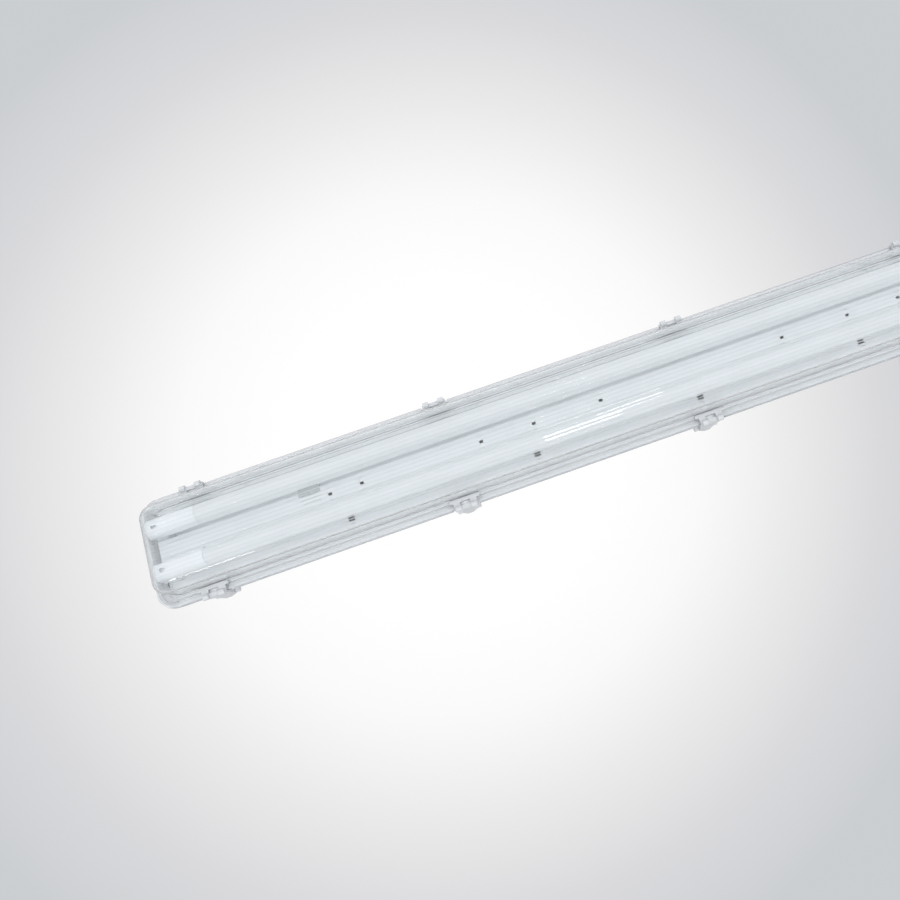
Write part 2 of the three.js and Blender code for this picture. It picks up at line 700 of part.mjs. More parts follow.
function lampholder() {
  const bottom = LAMP_DEPTH - holderFoot;
  const radius = HOLDER_WIDTH / 2;
  const outline = [[-radius, bottom], [-radius, 0]];
  for (let i = 1; i < CORNER_STEPS * 2; i++) {
    const angle = Math.PI + (i / CORNER_STEPS) * QUARTER;
    outline.push([radius * Math.cos(angle), radius * Math.sin(angle)]);
  }
  outline.push([radius, 0], [radius, bottom]);
  const body = barAlongX(outline, [GAP, GAP + HOLDER_THICK]);
  const foot = block(
    [footX - lampX - FOOT_LENGTH / 2, footX - lampX + FOOT_LENGTH / 2],
    [-FOOT_WIDTH / 2, FOOT_WIDTH / 2],
    [bottom - FUSE, bottom + TRAY_SHEET + GAP + FOOT_DROP],
  );
  const pocketEnd = GAP + CONTACT_LENGTH + 2 * GAP + ROTOR_BACK + GAP;
  const pocket = rod('x', ROTOR_RADIUS + RUNNING, [-OVERRUN, pocketEnd], [0, 0]);
  const slot = block([-OVERRUN, HOLDER_FACE], [-ROTOR_SLOT / 2, ROTOR_SLOT / 2], [-radius - OVERRUN, 0]);
  const mouth = block(
    [HOLDER_FACE, pocketEnd - ROTOR_BACK], [-HOLDER_MOUTH / 2, HOLDER_MOUTH / 2], [-radius - OVERRUN, 0],
  );
  return cut(body.add(foot), [pocket, slot, mouth]);
}

function rotor() {
  const end = GAP + CONTACT_LENGTH + 2 * GAP + ROTOR_BACK;
  const disc = rod('x', ROTOR_RADIUS, [2 * GAP, end], [0, 0]);
  const slot = block(
    [0, end - ROTOR_BACK],
    [-ROTOR_RADIUS - OVERRUN, ROTOR_RADIUS + OVERRUN],
    [-ROTOR_SLOT / 2, ROTOR_SLOT / 2],
  );
  return disc.subtract(slot);
}

// Lamp parts, with the lamp's axis on their own X axis

function lampTube() {
  const reach = lampX - CAP_FACE - GAP;
  const inside = LAMP_RADIUS - LAMP_WALL;
  return rod('x', LAMP_RADIUS, [-reach, reach], [0, 0]).subtract(
    rod('x', inside, [-reach - OVERRUN, reach + OVERRUN], [0, 0]),
  );
}

// The end cap for the +X end, with its two contact pins side by side.
function lampCap() {
  const inside = LAMP_RADIUS + GAP;
  const cup = rod('x', capRadius, [lampX - CAP_LENGTH, lampX], [0, 0]).subtract(
    rod('x', inside, [lampX - CAP_LENGTH - OVERRUN, lampX - CAP_FACE], [0, 0]),
  );
  const pins = [1, -1].map((side) =>
    rod(
      'x', CONTACT_RADIUS, [lampX - CAP_FACE / 2, lampX + CONTACT_LENGTH],
      [side * CONTACT_PITCH / 2, 0], PIN_SIDES,
    ),
  );
  return join([cup, ...pins]);
}

const driverEnd = lampX - DRIVER_SPACING;
const boardEnd = driverEnd - DRIVER_LENGTH - DRIVER_SPACING;

function ledBoard() {
  const start = -driverEnd;
  const strip = block(
    [start, boardEnd], [-BOARD_WIDTH / 2, BOARD_WIDTH / 2], [BOARD_LIFT, BOARD_LIFT + BOARD_THICK],
  );
  const count = Math.floor((boardEnd - start) / CHIP_PITCH);
  const first = (boardEnd + start - (count - 1) * CHIP_PITCH) / 2;
  const chips = Array.from({ length: count }, (_, i) => {
    const x = first + i * CHIP_PITCH;
    return block(
      [x - CHIP_SIZE / 2, x + CHIP_SIZE / 2],
      [-CHIP_SIZE / 2, CHIP_SIZE / 2],
      [BOARD_LIFT - CHIP_HEIGHT, BOARD_LIFT + BOARD_THICK / 2],
    );
  });
  return join([strip, ...chips]);
}

function driver() {
  const start = driverEnd - DRIVER_LENGTH;
  const card = block(
    [start, driverEnd],
    [-DRIVER_BOARD_WIDTH / 2, DRIVER_BOARD_WIDTH / 2],
    [-BOARD_THICK / 2, BOARD_THICK / 2],
  );
  const space = DRIVER_LENGTH / 4;
  const parts = [0, 1, 2].map((i) =>
    block(
      [start + space * (i + 1 / 2), start + space * (i + 1)],
      [-DRIVER_WIDTH / 2, DRIVER_WIDTH / 2],
      [-DRIVER_HEIGHT, BOARD_THICK / 4],
    ),
  );
  return join([card, ...parts]);
}

// Clip, with its pin on its own X axis, its outer side towards +Y and the hook below

function clip() {
  const at = (inset, depth) => [halfWidth - inset - pivotY, PIVOT_DEPTH - depth];
  const hookBack = RIM_DEPTH + GAP;
  const hookFront = hookBack + CLIP_THICK;
  const innerFace = SKIRT_THICK - GAP - SKIRT_GAP / 2;
  const outerFace = innerFace - CLIP_WALL;
  const reach = RIM_WIDTH - HOOK_REACH_GAP;
  const hook = barAlongX(
    [
      at(reach, hookBack), at(reach, hookFront - CLIP_THICK / 4), at(reach - CLIP_THICK / 4, hookFront),
      at(reach - HOOK_WIDTH, hookFront), at(reach - HOOK_WIDTH, hookBack),
    ].reverse(),
    [-HOOK_LENGTH / 2, HOOK_LENGTH / 2],
  );
  const side = barAlongX(
    [
      at(reach - HOOK_WIDTH / 2, hookBack),
      at(reach - HOOK_WIDTH / 2, hookFront),
      at(outerFace + CLIP_WALL / 4, hookFront),
      at(outerFace, hookFront - CLIP_THICK / 2),
      at(PIVOT_INSET - BARREL_RADIUS, PIVOT_DEPTH),
      at(PIVOT_INSET, PIVOT_DEPTH),
      at(innerFace, rimTop - GAP),
      at(innerFace, hookBack),
    ].reverse(),
    [-CLIP_LENGTH / 2, CLIP_LENGTH / 2],
  );
  const wide = CLIP_LENGTH / 2;
  const narrow = BARREL_LENGTH / 2;
  const outline = new THREE.Shape([
    new THREE.Vector2(-narrow, OVERRUN),
    new THREE.Vector2(-narrow, -CLIP_TAPER_START),
    new THREE.Vector2(-wide, PIVOT_DEPTH - rimSeat),
    new THREE.Vector2(-wide, PIVOT_DEPTH - hookFront - OVERRUN),
    new THREE.Vector2(wide, PIVOT_DEPTH - hookFront - OVERRUN),
    new THREE.Vector2(wide, PIVOT_DEPTH - rimSeat),
    new THREE.Vector2(narrow, -CLIP_TAPER_START),
    new THREE.Vector2(narrow, OVERRUN),
  ]);
  const taper = new THREE.ExtrudeGeometry(outline, { depth: 2 * RIM_WIDTH, bevelEnabled: false });
  taper.rotateX(QUARTER);
  taper.translate(0, RIM_WIDTH, 0);
  const pin = BARREL_LENGTH / 2 + GAP + LUG_THICK;
  const ears = [1, -1].map((way) => {
    const middle = way * EAR_PITCH / 2;
    return rod(
      'x', EAR_RADIUS, [middle - EAR_LENGTH / 2, middle + EAR_LENGTH / 2],
      at(EAR_INSET, hookBack + GAP + EAR_RADIUS), PIN_SIDES,
    );
  });
  const [gripY] = at(-GRIP_OUT, 0);
  const rib = barAlongX(
    [
      [0, GRIP_TOP], [0, -GRIP_END], at(innerFace - CLIP_WALL / 2, PIVOT_DEPTH + GRIP_END),
      [gripY, -GRIP_FALL], [gripY, 0], [gripY - GRIP_TOP, GRIP_TOP],
    ],
    [-narrow, narrow],
  );
  const ribPlan = plate(
    [
      [-narrow, 0], [narrow, 0], [narrow, PIVOT_INSET],
      [GRIP_TIP / 2, gripY], [-GRIP_TIP / 2, gripY], [-narrow, PIVOT_INSET],
    ],
    [-GRIP_END - OVERRUN, GRIP_TOP + OVERRUN],
  );
  const [windowY] = at(reach - HOOK_WIDTH + GAP, 0);
  const opening = block(
    [-WINDOW_LENGTH / 2, WINDOW_LENGTH / 2],
    [windowY, windowY + WINDOW_WIDTH],
    [PIVOT_DEPTH - hookFront - OVERRUN, PIVOT_DEPTH - hookBack + OVERRUN],
  );
  const whole = join([
    hook,
    side.intersect(solidOf(taper)),
    rib.intersect(ribPlan),
    rod('x', BARREL_RADIUS, [-BARREL_LENGTH / 2, BARREL_LENGTH / 2], [0, 0], PIN_SIDES),
    rod('x', PIN_RADIUS, [-pin, pin], [0, 0], PIN_SIDES),
    ...ears,
  ]);
  return whole.subtract(opening);
}

// Turn button, with its stem on its own Z axis and z = 0 on the tray's front face

function turnButton() {
  const head = plate(
    roundedOutline(BUTTON_WIDTH / 2, BUTTON_LENGTH / 2, BUTTON_WIDTH / 2 - GAP),
    [-GAP - BUTTON_HEIGHT, -GAP],
  );
  const grip = block(
    [-BUTTON_GRIP / 2, BUTTON_GRIP / 2],
    [-BUTTON_LENGTH / 4, BUTTON_LENGTH / 4],
    [-GAP - 2 * BUTTON_HEIGHT, -GAP - BUTTON_HEIGHT / 2],
  );
  const stem = rod('z', STEM_RADIUS, [-GAP - BUTTON_HEIGHT / 2, TRAY_SHEET + STEM_LENGTH], [0, 0], PIN_SIDES);
  return join([head, grip, stem]);
}

// Terminal block, wires and earth screw

function terminalBlock() {
  const front = -(CHANNEL_DEPTH - TRAY_SHEET / 2);
  const body = block(
    [-BLOCK_LENGTH / 2, BLOCK_LENGTH / 2], [-BLOCK_WIDTH / 2, BLOCK_WIDTH / 2], [front, front + BLOCK_HEIGHT],
  );
  const pitch = BLOCK_LENGTH / BLOCK_SCREWS;
  const screws = Array.from({ length: BLOCK_SCREWS }, (_, i) =>
    rod(
      'z', BLOCK_SCREW_RADIUS, [front - OVERRUN, front + BLOCK_SCREW_DEPTH],
      [(i - (BLOCK_SCREWS - 1) / 2) * pitch, 0], PIN_SIDES,
    ),
  );
  return cut(body, screws);
}

function earthScrew() {
  const head = rod('z', EARTH_HEAD_RADIUS, [-GAP - EARTH_HEAD_HEIGHT, -GAP], [0, 0], PIN_SIDES);
  const arm = [-EARTH_HEAD_RADIUS / 2, EARTH_HEAD_RADIUS / 2];
  const slotDepth = [-2 * EARTH_HEAD_HEIGHT, -EARTH_HEAD_HEIGHT / 2 - GAP];
  const cross = [
    block(arm, [-GAP, GAP], slotDepth),
    block([-GAP, GAP], arm, slotDepth),
  ];
  const shank = rod(
    'z', EARTH_SHANK_RADIUS, [-GAP - EARTH_HEAD_HEIGHT / 2, EARTH_SHANK_LENGTH], [0, 0], PIN_SIDES,
  );
  return cut(head.add(shank), cross);
}

// A wire through points given as [x, y, depth].
function wire(points) {
  const path = new THREE.CatmullRomCurve3(points.map(([x, y, depth]) => new THREE.Vector3(x, y, -depth)));
  const section = new THREE.Shape(
    Array.from({ length: WIRE_SIDES }, (_, i) => {
      const angle = (i / WIRE_SIDES) * 2 * Math.PI;
      return new THREE.Vector2(WIRE_RADIUS * Math.cos(angle), WIRE_RADIUS * Math.sin(angle));
    }),
  );
  const sweep = { steps: WIRE_STEPS, extrudePath: path, bevelEnabled: false };
  return solidOf(new THREE.ExtrudeGeometry(section, sweep));
}

// Bracket: a strap across the back, with two legs and inward lips

function bracket() {
  const out = halfWidth - BRACKET_REACH;
  const inner = out - BRACKET_SHEET;
  const lip = inner - BRACKET_LIP;
  const lipBack = -BRACKET_LEG + BRACKET_SHEET;
  const half = [
    [out, 0], [out, -BRACKET_LEG], [lip, -BRACKET_LEG],
    [lip, lipBack], [inner, lipBack], [inner, -BRACKET_SHEET],
  ];
  const outline = [...half, ...half.map(([y, z]) => [-y, z]).reverse()].reverse();
  const strap = barAlongX(outline, [-BRACKET_WIDTH / 2, BRACKET_WIDTH / 2]);
  const z = [-BRACKET_SHEET - OVERRUN, OVERRUN];
  const centre = plate(
    roundedOutline(BRACKET_HOLE_WIDTH / 2, BRACKET_HOLE_LENGTH / 2, BRACKET_HOLE_WIDTH / 2 - GAP), z,
  );
  const sideHole = (way) => rod('z', BRACKET_SIDE_HOLE, z, [0, way * BRACKET_SIDE_HOLE_Y], PIN_SIDES);
  const sides = [1, -1].map(sideHole);
  return cut(strap, [centre, ...sides]);
}

// Cable gland, with the outside of the housing towards -X and x = 0 on the boss's face

function glandBody() {
  const hex = rod('x', GLAND_HEX_RADIUS, [-GAP - GLAND_HEX_LENGTH, -GAP], [0, 0], HEX_SIDES);
  const thread = rod('x', GLAND_THREAD_RADIUS, [-GAP - GLAND_HEX_LENGTH / 2, GLAND_THREAD_LENGTH], [0, 0]);
  const neck = rod(
    'x', GLAND_NECK_RADIUS,
    [-GAP - GLAND_HEX_LENGTH - GLAND_NECK_LENGTH, -GAP - GLAND_HEX_LENGTH / 2], [0, 0],
  );
  const bore = rod(
    'x', GLAND_BORE_RADIUS,
    [-GLAND_HEX_LENGTH - GLAND_NECK_LENGTH - 2 * OVERRUN, GLAND_THREAD_LENGTH + OVERRUN], [0, 0],
  );
  return join([hex, thread, neck]).subtract(bore);
}

const nutBack = -GAP - GLAND_HEX_LENGTH - GAP;
const nutFront = nutBack - GLAND_NUT_LENGTH;
const sealBack = -GAP - GLAND_HEX_LENGTH - GLAND_NECK_LENGTH - GAP;
const sealFront = sealBack - SEAL_LENGTH;

function glandNut() {
  const skirt = rod('x', GLAND_NUT_RADIUS, [nutFront + GLAND_NUT_LENGTH / 3, nutBack], [0, 0], HEX_SIDES);
  const crown = turnedAlongX(
    [
      [0, nutFront], [GLAND_NUT_TIP, nutFront],
      [(GLAND_NUT_TIP + GLAND_NUT_RADIUS) / 2, nutFront + GLAND_NUT_LENGTH / 6],
      [GLAND_NUT_RADIUS * Math.cos(Math.PI / HEX_SIDES), nutFront + GLAND_NUT_LENGTH / 2],
      [0, nutFront + GLAND_NUT_LENGTH / 2],
    ],
    [0, 0],
  );
  const inside = rod('x', GLAND_NECK_RADIUS + GAP, [sealFront - GAP, nutBack + OVERRUN], [0, 0]);
  const bore = rod('x', GLAND_BORE_RADIUS, [nutFront - OVERRUN, nutBack], [0, 0]);
  return cut(skirt.add(crown), [inside, bore]);
}

function glandSeal() {
  return rod('x', SEAL_RADIUS, [sealFront, sealBack], [0, 0]).subtract(
    rod('x', SEAL_BORE_RADIUS, [sealFront - OVERRUN, sealBack + OVERRUN], [0, 0]),
  );
}

function glandLocknut() {
  const start = ENTRY_BOSS_LENGTH + GAP;
  return rod('x', LOCKNUT_RADIUS, [start, start + LOCKNUT_LENGTH], [0, 0], HEX_SIDES).subtract(
    rod('x', GLAND_THREAD_RADIUS + GAP, [start - OVERRUN, start + LOCKNUT_LENGTH + OVERRUN], [0, 0]),
  );
}

// Blanking plug for the other entry, placed like the gland
function entryPlug() {
  const front = -GAP - PLUG_HEAD_LENGTH;
  const head = rod('x', GLAND_HEX_RADIUS, [front, -GAP], [0, 0]);
  const thread = rod('x', GLAND_THREAD_RADIUS, [-GAP - PLUG_HEAD_LENGTH / 2, GLAND_THREAD_LENGTH], [0, 0]);
  const slot = block(
    [front - OVERRUN, front + PLUG_SLOT_WIDTH],
    [-PLUG_SLOT_LENGTH / 2, PLUG_SLOT_LENGTH / 2],
    [-PLUG_SLOT_WIDTH / 2, PLUG_SLOT_WIDTH / 2],
  );
  return head.add(thread).subtract(slot);
}

// Blind grommet in the rear entry, with z = 0 on the back's outer face
function grommet() {
  const outer = rod('z', GROMMET_FLANGE_RADIUS, [GAP, GAP + GROMMET_FLANGE], [0, 0]);
  const neck = rod(
    'z', GROMMET_NECK_RADIUS,
    [-HOUSING_WALL - GAP - GROMMET_FLANGE / 2, GAP + GROMMET_FLANGE / 2], [0, 0],
  );
  const inner = rod(
    'z', GROMMET_FLANGE_RADIUS - OVERRUN, [-HOUSING_WALL - GAP - GROMMET_FLANGE, -HOUSING_WALL - GAP], [0, 0],
  );
  const dimple = rod('z', GROMMET_DIMPLE_RADIUS, [GROMMET_FLANGE / 2, GROMMET_FLANGE + OVERRUN], [0, 0]);
  return join([outer, neck, inner]).subtract(dimple);
}

// Assembly

add(fitting, 'housing', housing(), 'housing');
add(fitting, 'rim_gasket', gasket(), 'foam');
add(fitting, 'diffuser', diffuser(), 'clear');
add(fitting, 'gear_tray', tray(), 'paintedSteel');

const clipSolid = clip();
for (const [side, way] of [['front', -1], ['rear', 1]]) {
  clipXs.forEach((x, i) => {
    const place = [x, way * pivotY, -PIVOT_DEPTH];
    add(fitting, `clip_${side}_${i + 1}`, clipSolid, 'clip', place, way > 0 ? 0 : Math.PI);
  });
}

[1, -1].forEach((way, i) => {
  const lamp = new THREE.Group();
  lamp.position.set(0, way * lampY, -LAMP_DEPTH);
  fitting.add(lamp);
  const n = i + 1;
  add(lamp, `lamp_${n}_tube`, lampTube(), 'frosted');
  add(lamp, `lamp_${n}_cap_a`, lampCap(), 'white');
  add(lamp, `lamp_${n}_cap_b`, lampCap(), 'white', [0, 0, 0], Math.PI);
  add(lamp, `lamp_${n}_led_board`, ledBoard(), 'board');
  add(lamp, `lamp_${n}_driver`, driver(), 'board');
  for (const [end, turn] of [['a', 0], ['b', Math.PI]]) {
    const place = [turn ? -lampX : lampX, 0, 0];
    add(lamp, `lampholder_${n}${end}`, lampholder(), 'white', place, turn);
    add(lamp, `rotor_${n}${end}`, rotor(), 'white', place, turn);
  }
});

bothWays(BUTTON_SHARES).forEach((x, i) => {
  add(fitting, `turn_button_${i + 1}`, turnButton(), 'white', [x, buttonY, -TRAY_DEPTH]);
});

add(fitting, 'terminal_block', terminalBlock(), 'block', [blockX, BLOCK_Y, 0]);
add(fitting, 'earth_screw', earthScrew(), 'stainless', [earthX, EARTH_Y, -TRAY_DEPTH]);

// The wires leave the block's end face inside the channel, climb behind the tray and end on the lampholders' feet.
const blockEnd = blockX + BLOCK_LENGTH / 2 + GAP;
const footBack = holderFoot - TRAY_SHEET - GAP - FOOT_DROP - GAP;

function lampWire(side, lane) {
  const startY = WIRE_START_Y - lane * WIRE_PITCH;
  const startDepth = WIRE_START_DEPTH + side * WIRE_PITCH_DEPTH;
  const level = WIRE_LEVEL + side * WIRE_LEVEL_PITCH;
  const endY = (side ? -lampY : lampY) + (1 / 2 - lane) * WIRE_END_PITCH;
  const climbEnd = blockEnd + WIRE_LEAD + WIRE_CLIMB;
  return wire([
    [blockEnd, startY, startDepth],
    [blockEnd + WIRE_LEAD, startY, startDepth],
    [climbEnd - WIRE_CLIMB / 2, startY, (startDepth + level) / 2],
    [climbEnd, startY, level],
    [climbEnd + WIRE_SWEEP, (startY + endY) / 2, level],
    [climbEnd + 2 * WIRE_SWEEP, endY, level],
    [footX - WIRE_BEND, endY, level],
    [footX, endY, (level + footBack) / 2],
    [footX, endY, footBack],
  ]);
}

add(fitting, 'live_wire_1', lampWire(0, 0), 'brown');
add(fitting, 'neutral_wire_1', lampWire(0, 1), 'blue');
add(fitting, 'live_wire_2', lampWire(1, 0), 'brown');
add(fitting, 'neutral_wire_2', lampWire(1, 1), 'blue');

const blockBack = CHANNEL_DEPTH - TRAY_SHEET / 2 - BLOCK_HEIGHT;
const shankEnd = TRAY_DEPTH - EARTH_SHANK_LENGTH;
add(
  fitting, 'earth_wire',
  wire([
    [blockX, BLOCK_Y, blockBack - GAP],
    [blockX, BLOCK_Y, blockBack - WIRE_LEAD],
    [(blockX + earthX) / 2, (BLOCK_Y + EARTH_Y) / 2, EARTH_WIRE_LEVEL],
    [earthX - WIRE_BEND, EARTH_Y, EARTH_WIRE_LEVEL],
    [earthX, EARTH_Y, (EARTH_WIRE_LEVEL + shankEnd) / 2],
    [earthX, EARTH_Y, shankEnd - GAP],
  ]),
  'green',
);

[bracketX, -bracketX].forEach((x, i) => {
  add(fitting, `bracket_${i + 1}`, bracket(), 'stainless', [x, 0, 0]);
});

function entryAt(x, turn) {
  const entry = new THREE.Group();
  entry.position.set(x, 0, -ENTRY_DEPTH);
  entry.rotation.z = turn;
  fitting.add(entry);
  return entry;
}

const glandEntry = entryAt(entryFace, Math.PI);
add(glandEntry, 'gland_body', glandBody(), 'gland');
add(glandEntry, 'gland_nut', glandNut(), 'gland');
add(glandEntry, 'gland_seal', glandSeal(), 'rubber');
add(glandEntry, 'gland_locknut', glandLocknut(), 'gland');

const plugEntry = entryAt(-entryFace, 0);
add(plugEntry, 'entry_plug', entryPlug(), 'gland');
add(plugEntry, 'plug_locknut', glandLocknut(), 'gland');
add(fitting, 'rear_grommet', grommet(), 'rubber', [rearEntryX, 0, -backDepth]);

export default fitting;
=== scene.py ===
import json
import math

import bmesh
import bpy
from mathutils import Matrix, Quaternion, Vector


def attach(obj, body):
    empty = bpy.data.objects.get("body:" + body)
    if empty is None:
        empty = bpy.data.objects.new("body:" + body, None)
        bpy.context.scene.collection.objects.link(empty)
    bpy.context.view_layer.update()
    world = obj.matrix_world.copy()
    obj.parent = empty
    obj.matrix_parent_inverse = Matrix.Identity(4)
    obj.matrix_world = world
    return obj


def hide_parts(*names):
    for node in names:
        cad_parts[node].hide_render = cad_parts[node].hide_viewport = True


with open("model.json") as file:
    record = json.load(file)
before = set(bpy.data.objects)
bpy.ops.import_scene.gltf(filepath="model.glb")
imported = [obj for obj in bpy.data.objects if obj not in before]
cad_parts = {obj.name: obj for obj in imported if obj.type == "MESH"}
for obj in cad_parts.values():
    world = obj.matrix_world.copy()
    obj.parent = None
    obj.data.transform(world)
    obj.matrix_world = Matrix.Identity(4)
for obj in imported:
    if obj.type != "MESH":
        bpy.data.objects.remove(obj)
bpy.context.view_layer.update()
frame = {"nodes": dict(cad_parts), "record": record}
nodes = frame["nodes"]
scene = bpy.context.scene

MM = 0.001
HALF_PI = math.pi / 2
SMALLEST_EDGE = 2e-6  # metres
SMOOTH_ANGLE = 35  # degrees
COVER_SMOOTH_ANGLE = 30

# Sizes shared with the solids, in millimetres, with depths counted from the ceiling
HALF_LENGTH = 788.5
HALF_WIDTH = 77.0
HEIGHT = 96.5
RIM_DEPTH = 50.0
RIM_CORNER = 26.0
RIM_WIDTH = 14.7
FLANGE_BACK = 46.8
DOME_CORNER = 20.0
DOME_DRAFT = 1.8
DOME_EDGE = 10.0
COVER_WALL = 2.0
NOTCH_HALF = 19.0
NOTCH_INSET = 1.6
CAVITY_HALF_WIDTH = 63.5
TRAY_HALF_LENGTH = 768.0
TRAY_HALF_WIDTH = 58.0
TRAY_DEPTH = 43.0
CHANNEL_WIDTH = 32.0
CHANNEL_DEPTH = 59.0
SHEET = 1.0
CLEARANCE = 0.3
CLIP_XS = [-711.2, -355.6, 0.0, 355.6, 711.2]

# The cover's front, inside the rounded edge of the dome
FRONT_INSET = RIM_WIDTH + DOME_DRAFT + DOME_EDGE
FRONT_CORNER = DOME_CORNER - DOME_DRAFT - DOME_EDGE
FRONT_X = HALF_LENGTH - FRONT_INSET - FRONT_CORNER
FRONT_Y = HALF_WIDTH - FRONT_INSET - FRONT_CORNER
FLUTES = 18
FLUTE_PITCH = 5.48
FLUTE_CROWN = 0.006
FLUTE_SHOULDER = 1.6
FLUTE_RUNOUT = 5.0
GROOVE_HALF = 0.7
GROOVE_DEPTH = 0.3
CLOSEST_LINES = 0.05
ROUNDING = 1e-6

# The cover's dome and rim in section
DOME_STEPS = 8
CORNER_STEPS = 10
SMALLEST_CORNER = 5.0
FOOT_STEP = 0.6
FOOT_EASE = 0.03
RIM_ROUND = 1.2
RIM_ROUND_MIDDLE = 0.35
SKIRT_BACK = 43.0
SKIRT_WALL = 1.6
SKIRT_SOFT = 0.2
TONGUE_BACK = 43.6
TONGUE_OUT = 7.0
TONGUE_IN = 9.0
TONGUE_SOFT = 0.3
NOTCH_SLOPE = 0.05
NOTCH_TOLERANCE = 0.01

# The tray's lip in section: distance out from the tray's edge, corner radius and distance back from its face
LIP_PROFILE = [
    (0.3, 1.0, 0.0), (2.4, 3.0, 0.0), (4.0, 5.0, 0.5), (4.8, 6.0, 1.8),
    (4.1, 6.0, 1.9), (3.6, 5.0, 1.1), (2.2, 3.0, 0.8), (0.3, 1.0, 0.8),
]
LIP_CORNER_STEPS = 6

# The tabs that close the ends of the tray's channel
TAB_NOTCH_FOOT = 5.0
TAB_NOTCH_HEAD = 4.0
TAB_NOTCH_RISE = 3.0
TAB_CLIPPED = 2.0

# The pale pads behind the clips' windows, painted light in the windows' shade
SEAT_HALF = 8.0
SEAT_OUT = 73.4
SEAT_WIDTH = 6.0
SEAT_DEPTHS = (50.05, 50.2)
BOX_FACES = [(3, 2, 1, 0), (4, 5, 6, 7), (0, 1, 5, 4), (1, 2, 6, 5), (2, 3, 7, 6), (3, 0, 4, 7)]

# The cover's look: shares of the painted shade tint, transmission weights and where they change
CLEAR_TINT = (0.975, 0.985, 0.99)
PAINTED_SHADE_TINT = (0.70, 0.715, 0.73)
SHADOW_TINT = (0.97, 0.975, 0.98)
GROOVE_SHADE_SHARE = 0.42
SKIRT_SHADE_SHARE = 0.85
END_SHADE_SHARE = 0.85
FRONT_CLARITY = 0.985
SIDE_CLARITY = 0.88
RIM_CLARITY = 0.93
END_CLARITY = 0.76
COVER_IOR = 1.49
COVER_ROUGHNESS = (0.008, 0.016)
COVER_GRAIN = 40.0
FRONT_BAND = COVER_WALL + 0.5
SIDE_FADE = (COVER_WALL - HEIGHT, DOME_EDGE - HEIGHT)
RIM_FADE = (-RIM_DEPTH - 3, -RIM_DEPTH - 1)
SKIRT_FADE = (HALF_WIDTH - 2.2, HALF_WIDTH - 1.7)
END_FADE = (HALF_LENGTH - FRONT_INSET - 2, HALF_LENGTH - FRONT_INSET + 4)

# Painted light: the housing's paler inner walls and the tubes' paler side
PAINTED_LIGHT_WALL = (0.93, 0.94, 0.95)
PAINTED_LIGHT_REACH = CAVITY_HALF_WIDTH + 0.3
PAINTED_LIGHT_END_FADE = (761.0, 766.0)
PAINTED_LIGHT_DEPTH_FADE = (-21.0, -18.0)
PAINTED_LIGHT_TUBE = (0.785, 0.82, 0.835)
PAINTED_LIGHT_TUBE_NORMALS = (-0.62, -0.97)

# Grain of the plastics and of the rolled steel
BROAD_SCALE = 14.0
ROUGHNESS_SPREAD = 0.15
ROLLED_SCALE = 60.0
ROLLED_DETAIL = 4.0
ROLLED_STRETCH = (1, 30, 1)
ROLLED_SHADE = 0.9
ROLLED_ROUGHNESS = (0.8, 1.3)
ROLLED_DEPTH = 0.00002
ROLLED_STRENGTH = 0.2


# Materials

def new_material(name):
    material = bpy.data.materials.new(name)
    material.use_nodes = True
    tree = material.node_tree
    return material, tree, tree.nodes["Principled BSDF"]


def axes_of(tree, output="Object"):
    """The X, Y and Z sockets of the coordinates or, for the output Normal, of the way that the face looks."""
    where = tree.nodes.new("ShaderNodeTexCoord")
    axes = tree.nodes.new("ShaderNodeSeparateXYZ")
    tree.links.new(where.outputs[output], axes.inputs["Vector"])
    return axes.outputs


def noise(tree, scale, detail=3.0, stretch=(1, 1, 1)):
    where = tree.nodes.new("ShaderNodeTexCoord")
    mapping = tree.nodes.new("ShaderNodeMapping")
    mapping.inputs["Scale"].default_value = stretch
    texture = tree.nodes.new("ShaderNodeTexNoise")
    texture.inputs["Scale"].default_value = scale
    texture.inputs["Detail"].default_value = detail
    tree.links.new(where.outputs["Object"], mapping.inputs["Vector"])
    tree.links.new(mapping.outputs["Vector"], texture.inputs["Vector"])
    return texture.outputs["Fac"]


def ramp(tree, source, low, high, start=0.3, end=0.7):
    colours = tree.nodes.new("ShaderNodeValToRGB")
    first, last = colours.color_ramp.elements
    first.position, last.position = start, end
    first.color = (*low, 1)
    last.color = (*high, 1)
    tree.links.new(source, colours.inputs["Fac"])
    return colours.outputs["Color"]


def map_range(tree, source, start, end, low, high):
    """low at start and high at end, and no further."""
    made = tree.nodes.new("ShaderNodeMapRange")
    for name, value in zip(("From Min", "From Max", "To Min", "To Max"), (start, end, low, high)):
        made.inputs[name].default_value = value
    tree.links.new(source, made.inputs["Value"])
    return made.outputs["Result"]


def fade(tree, source, span, low, high):
    """low before the span, which is in millimetres, and high past it."""
    start, end = span
    return map_range(tree, source, start * MM, end * MM, low, high)


def calculate(tree, operation, first, second=None, clamp=False):
    made = tree.nodes.new("ShaderNodeMath")
    made.operation = operation
    made.use_clamp = clamp
    for socket, value in zip(made.inputs, (first, second)):
        if isinstance(value, (int, float)):
            socket.default_value = value
        elif value is not None:
            tree.links.new(value, socket)
    return made.outputs["Value"]


def bump(tree, shader, source, distance, strength=0.3):
    made = tree.nodes.new("ShaderNodeBump")
    made.inputs["Strength"].default_value = strength
    made.inputs["Distance"].default_value = distance
    tree.links.new(source, made.inputs["Height"])
    tree.links.new(made.outputs["Normal"], shader.inputs["Normal"])


def plastic(name, colour, roughness, grain=900.0, depth=0.00003, variation=0.03):
    material, tree, shader = new_material(name)
    low = tuple(c * (1 - variation) for c in colour)
    high = tuple(min(1.0, c * (1 + variation)) for c in colour)
    tree.links.new(ramp(tree, noise(tree, BROAD_SCALE), low, high), shader.inputs["Base Color"])
    fine = noise(tree, grain)
    smoothest, roughest = roughness * (1 - ROUGHNESS_SPREAD), roughness * (1 + ROUGHNESS_SPREAD)
    tree.links.new(map_range(tree, fine, 0, 1, smoothest, roughest), shader.inputs["Roughness"])
    bump(tree, shader, fine, depth)
    return material


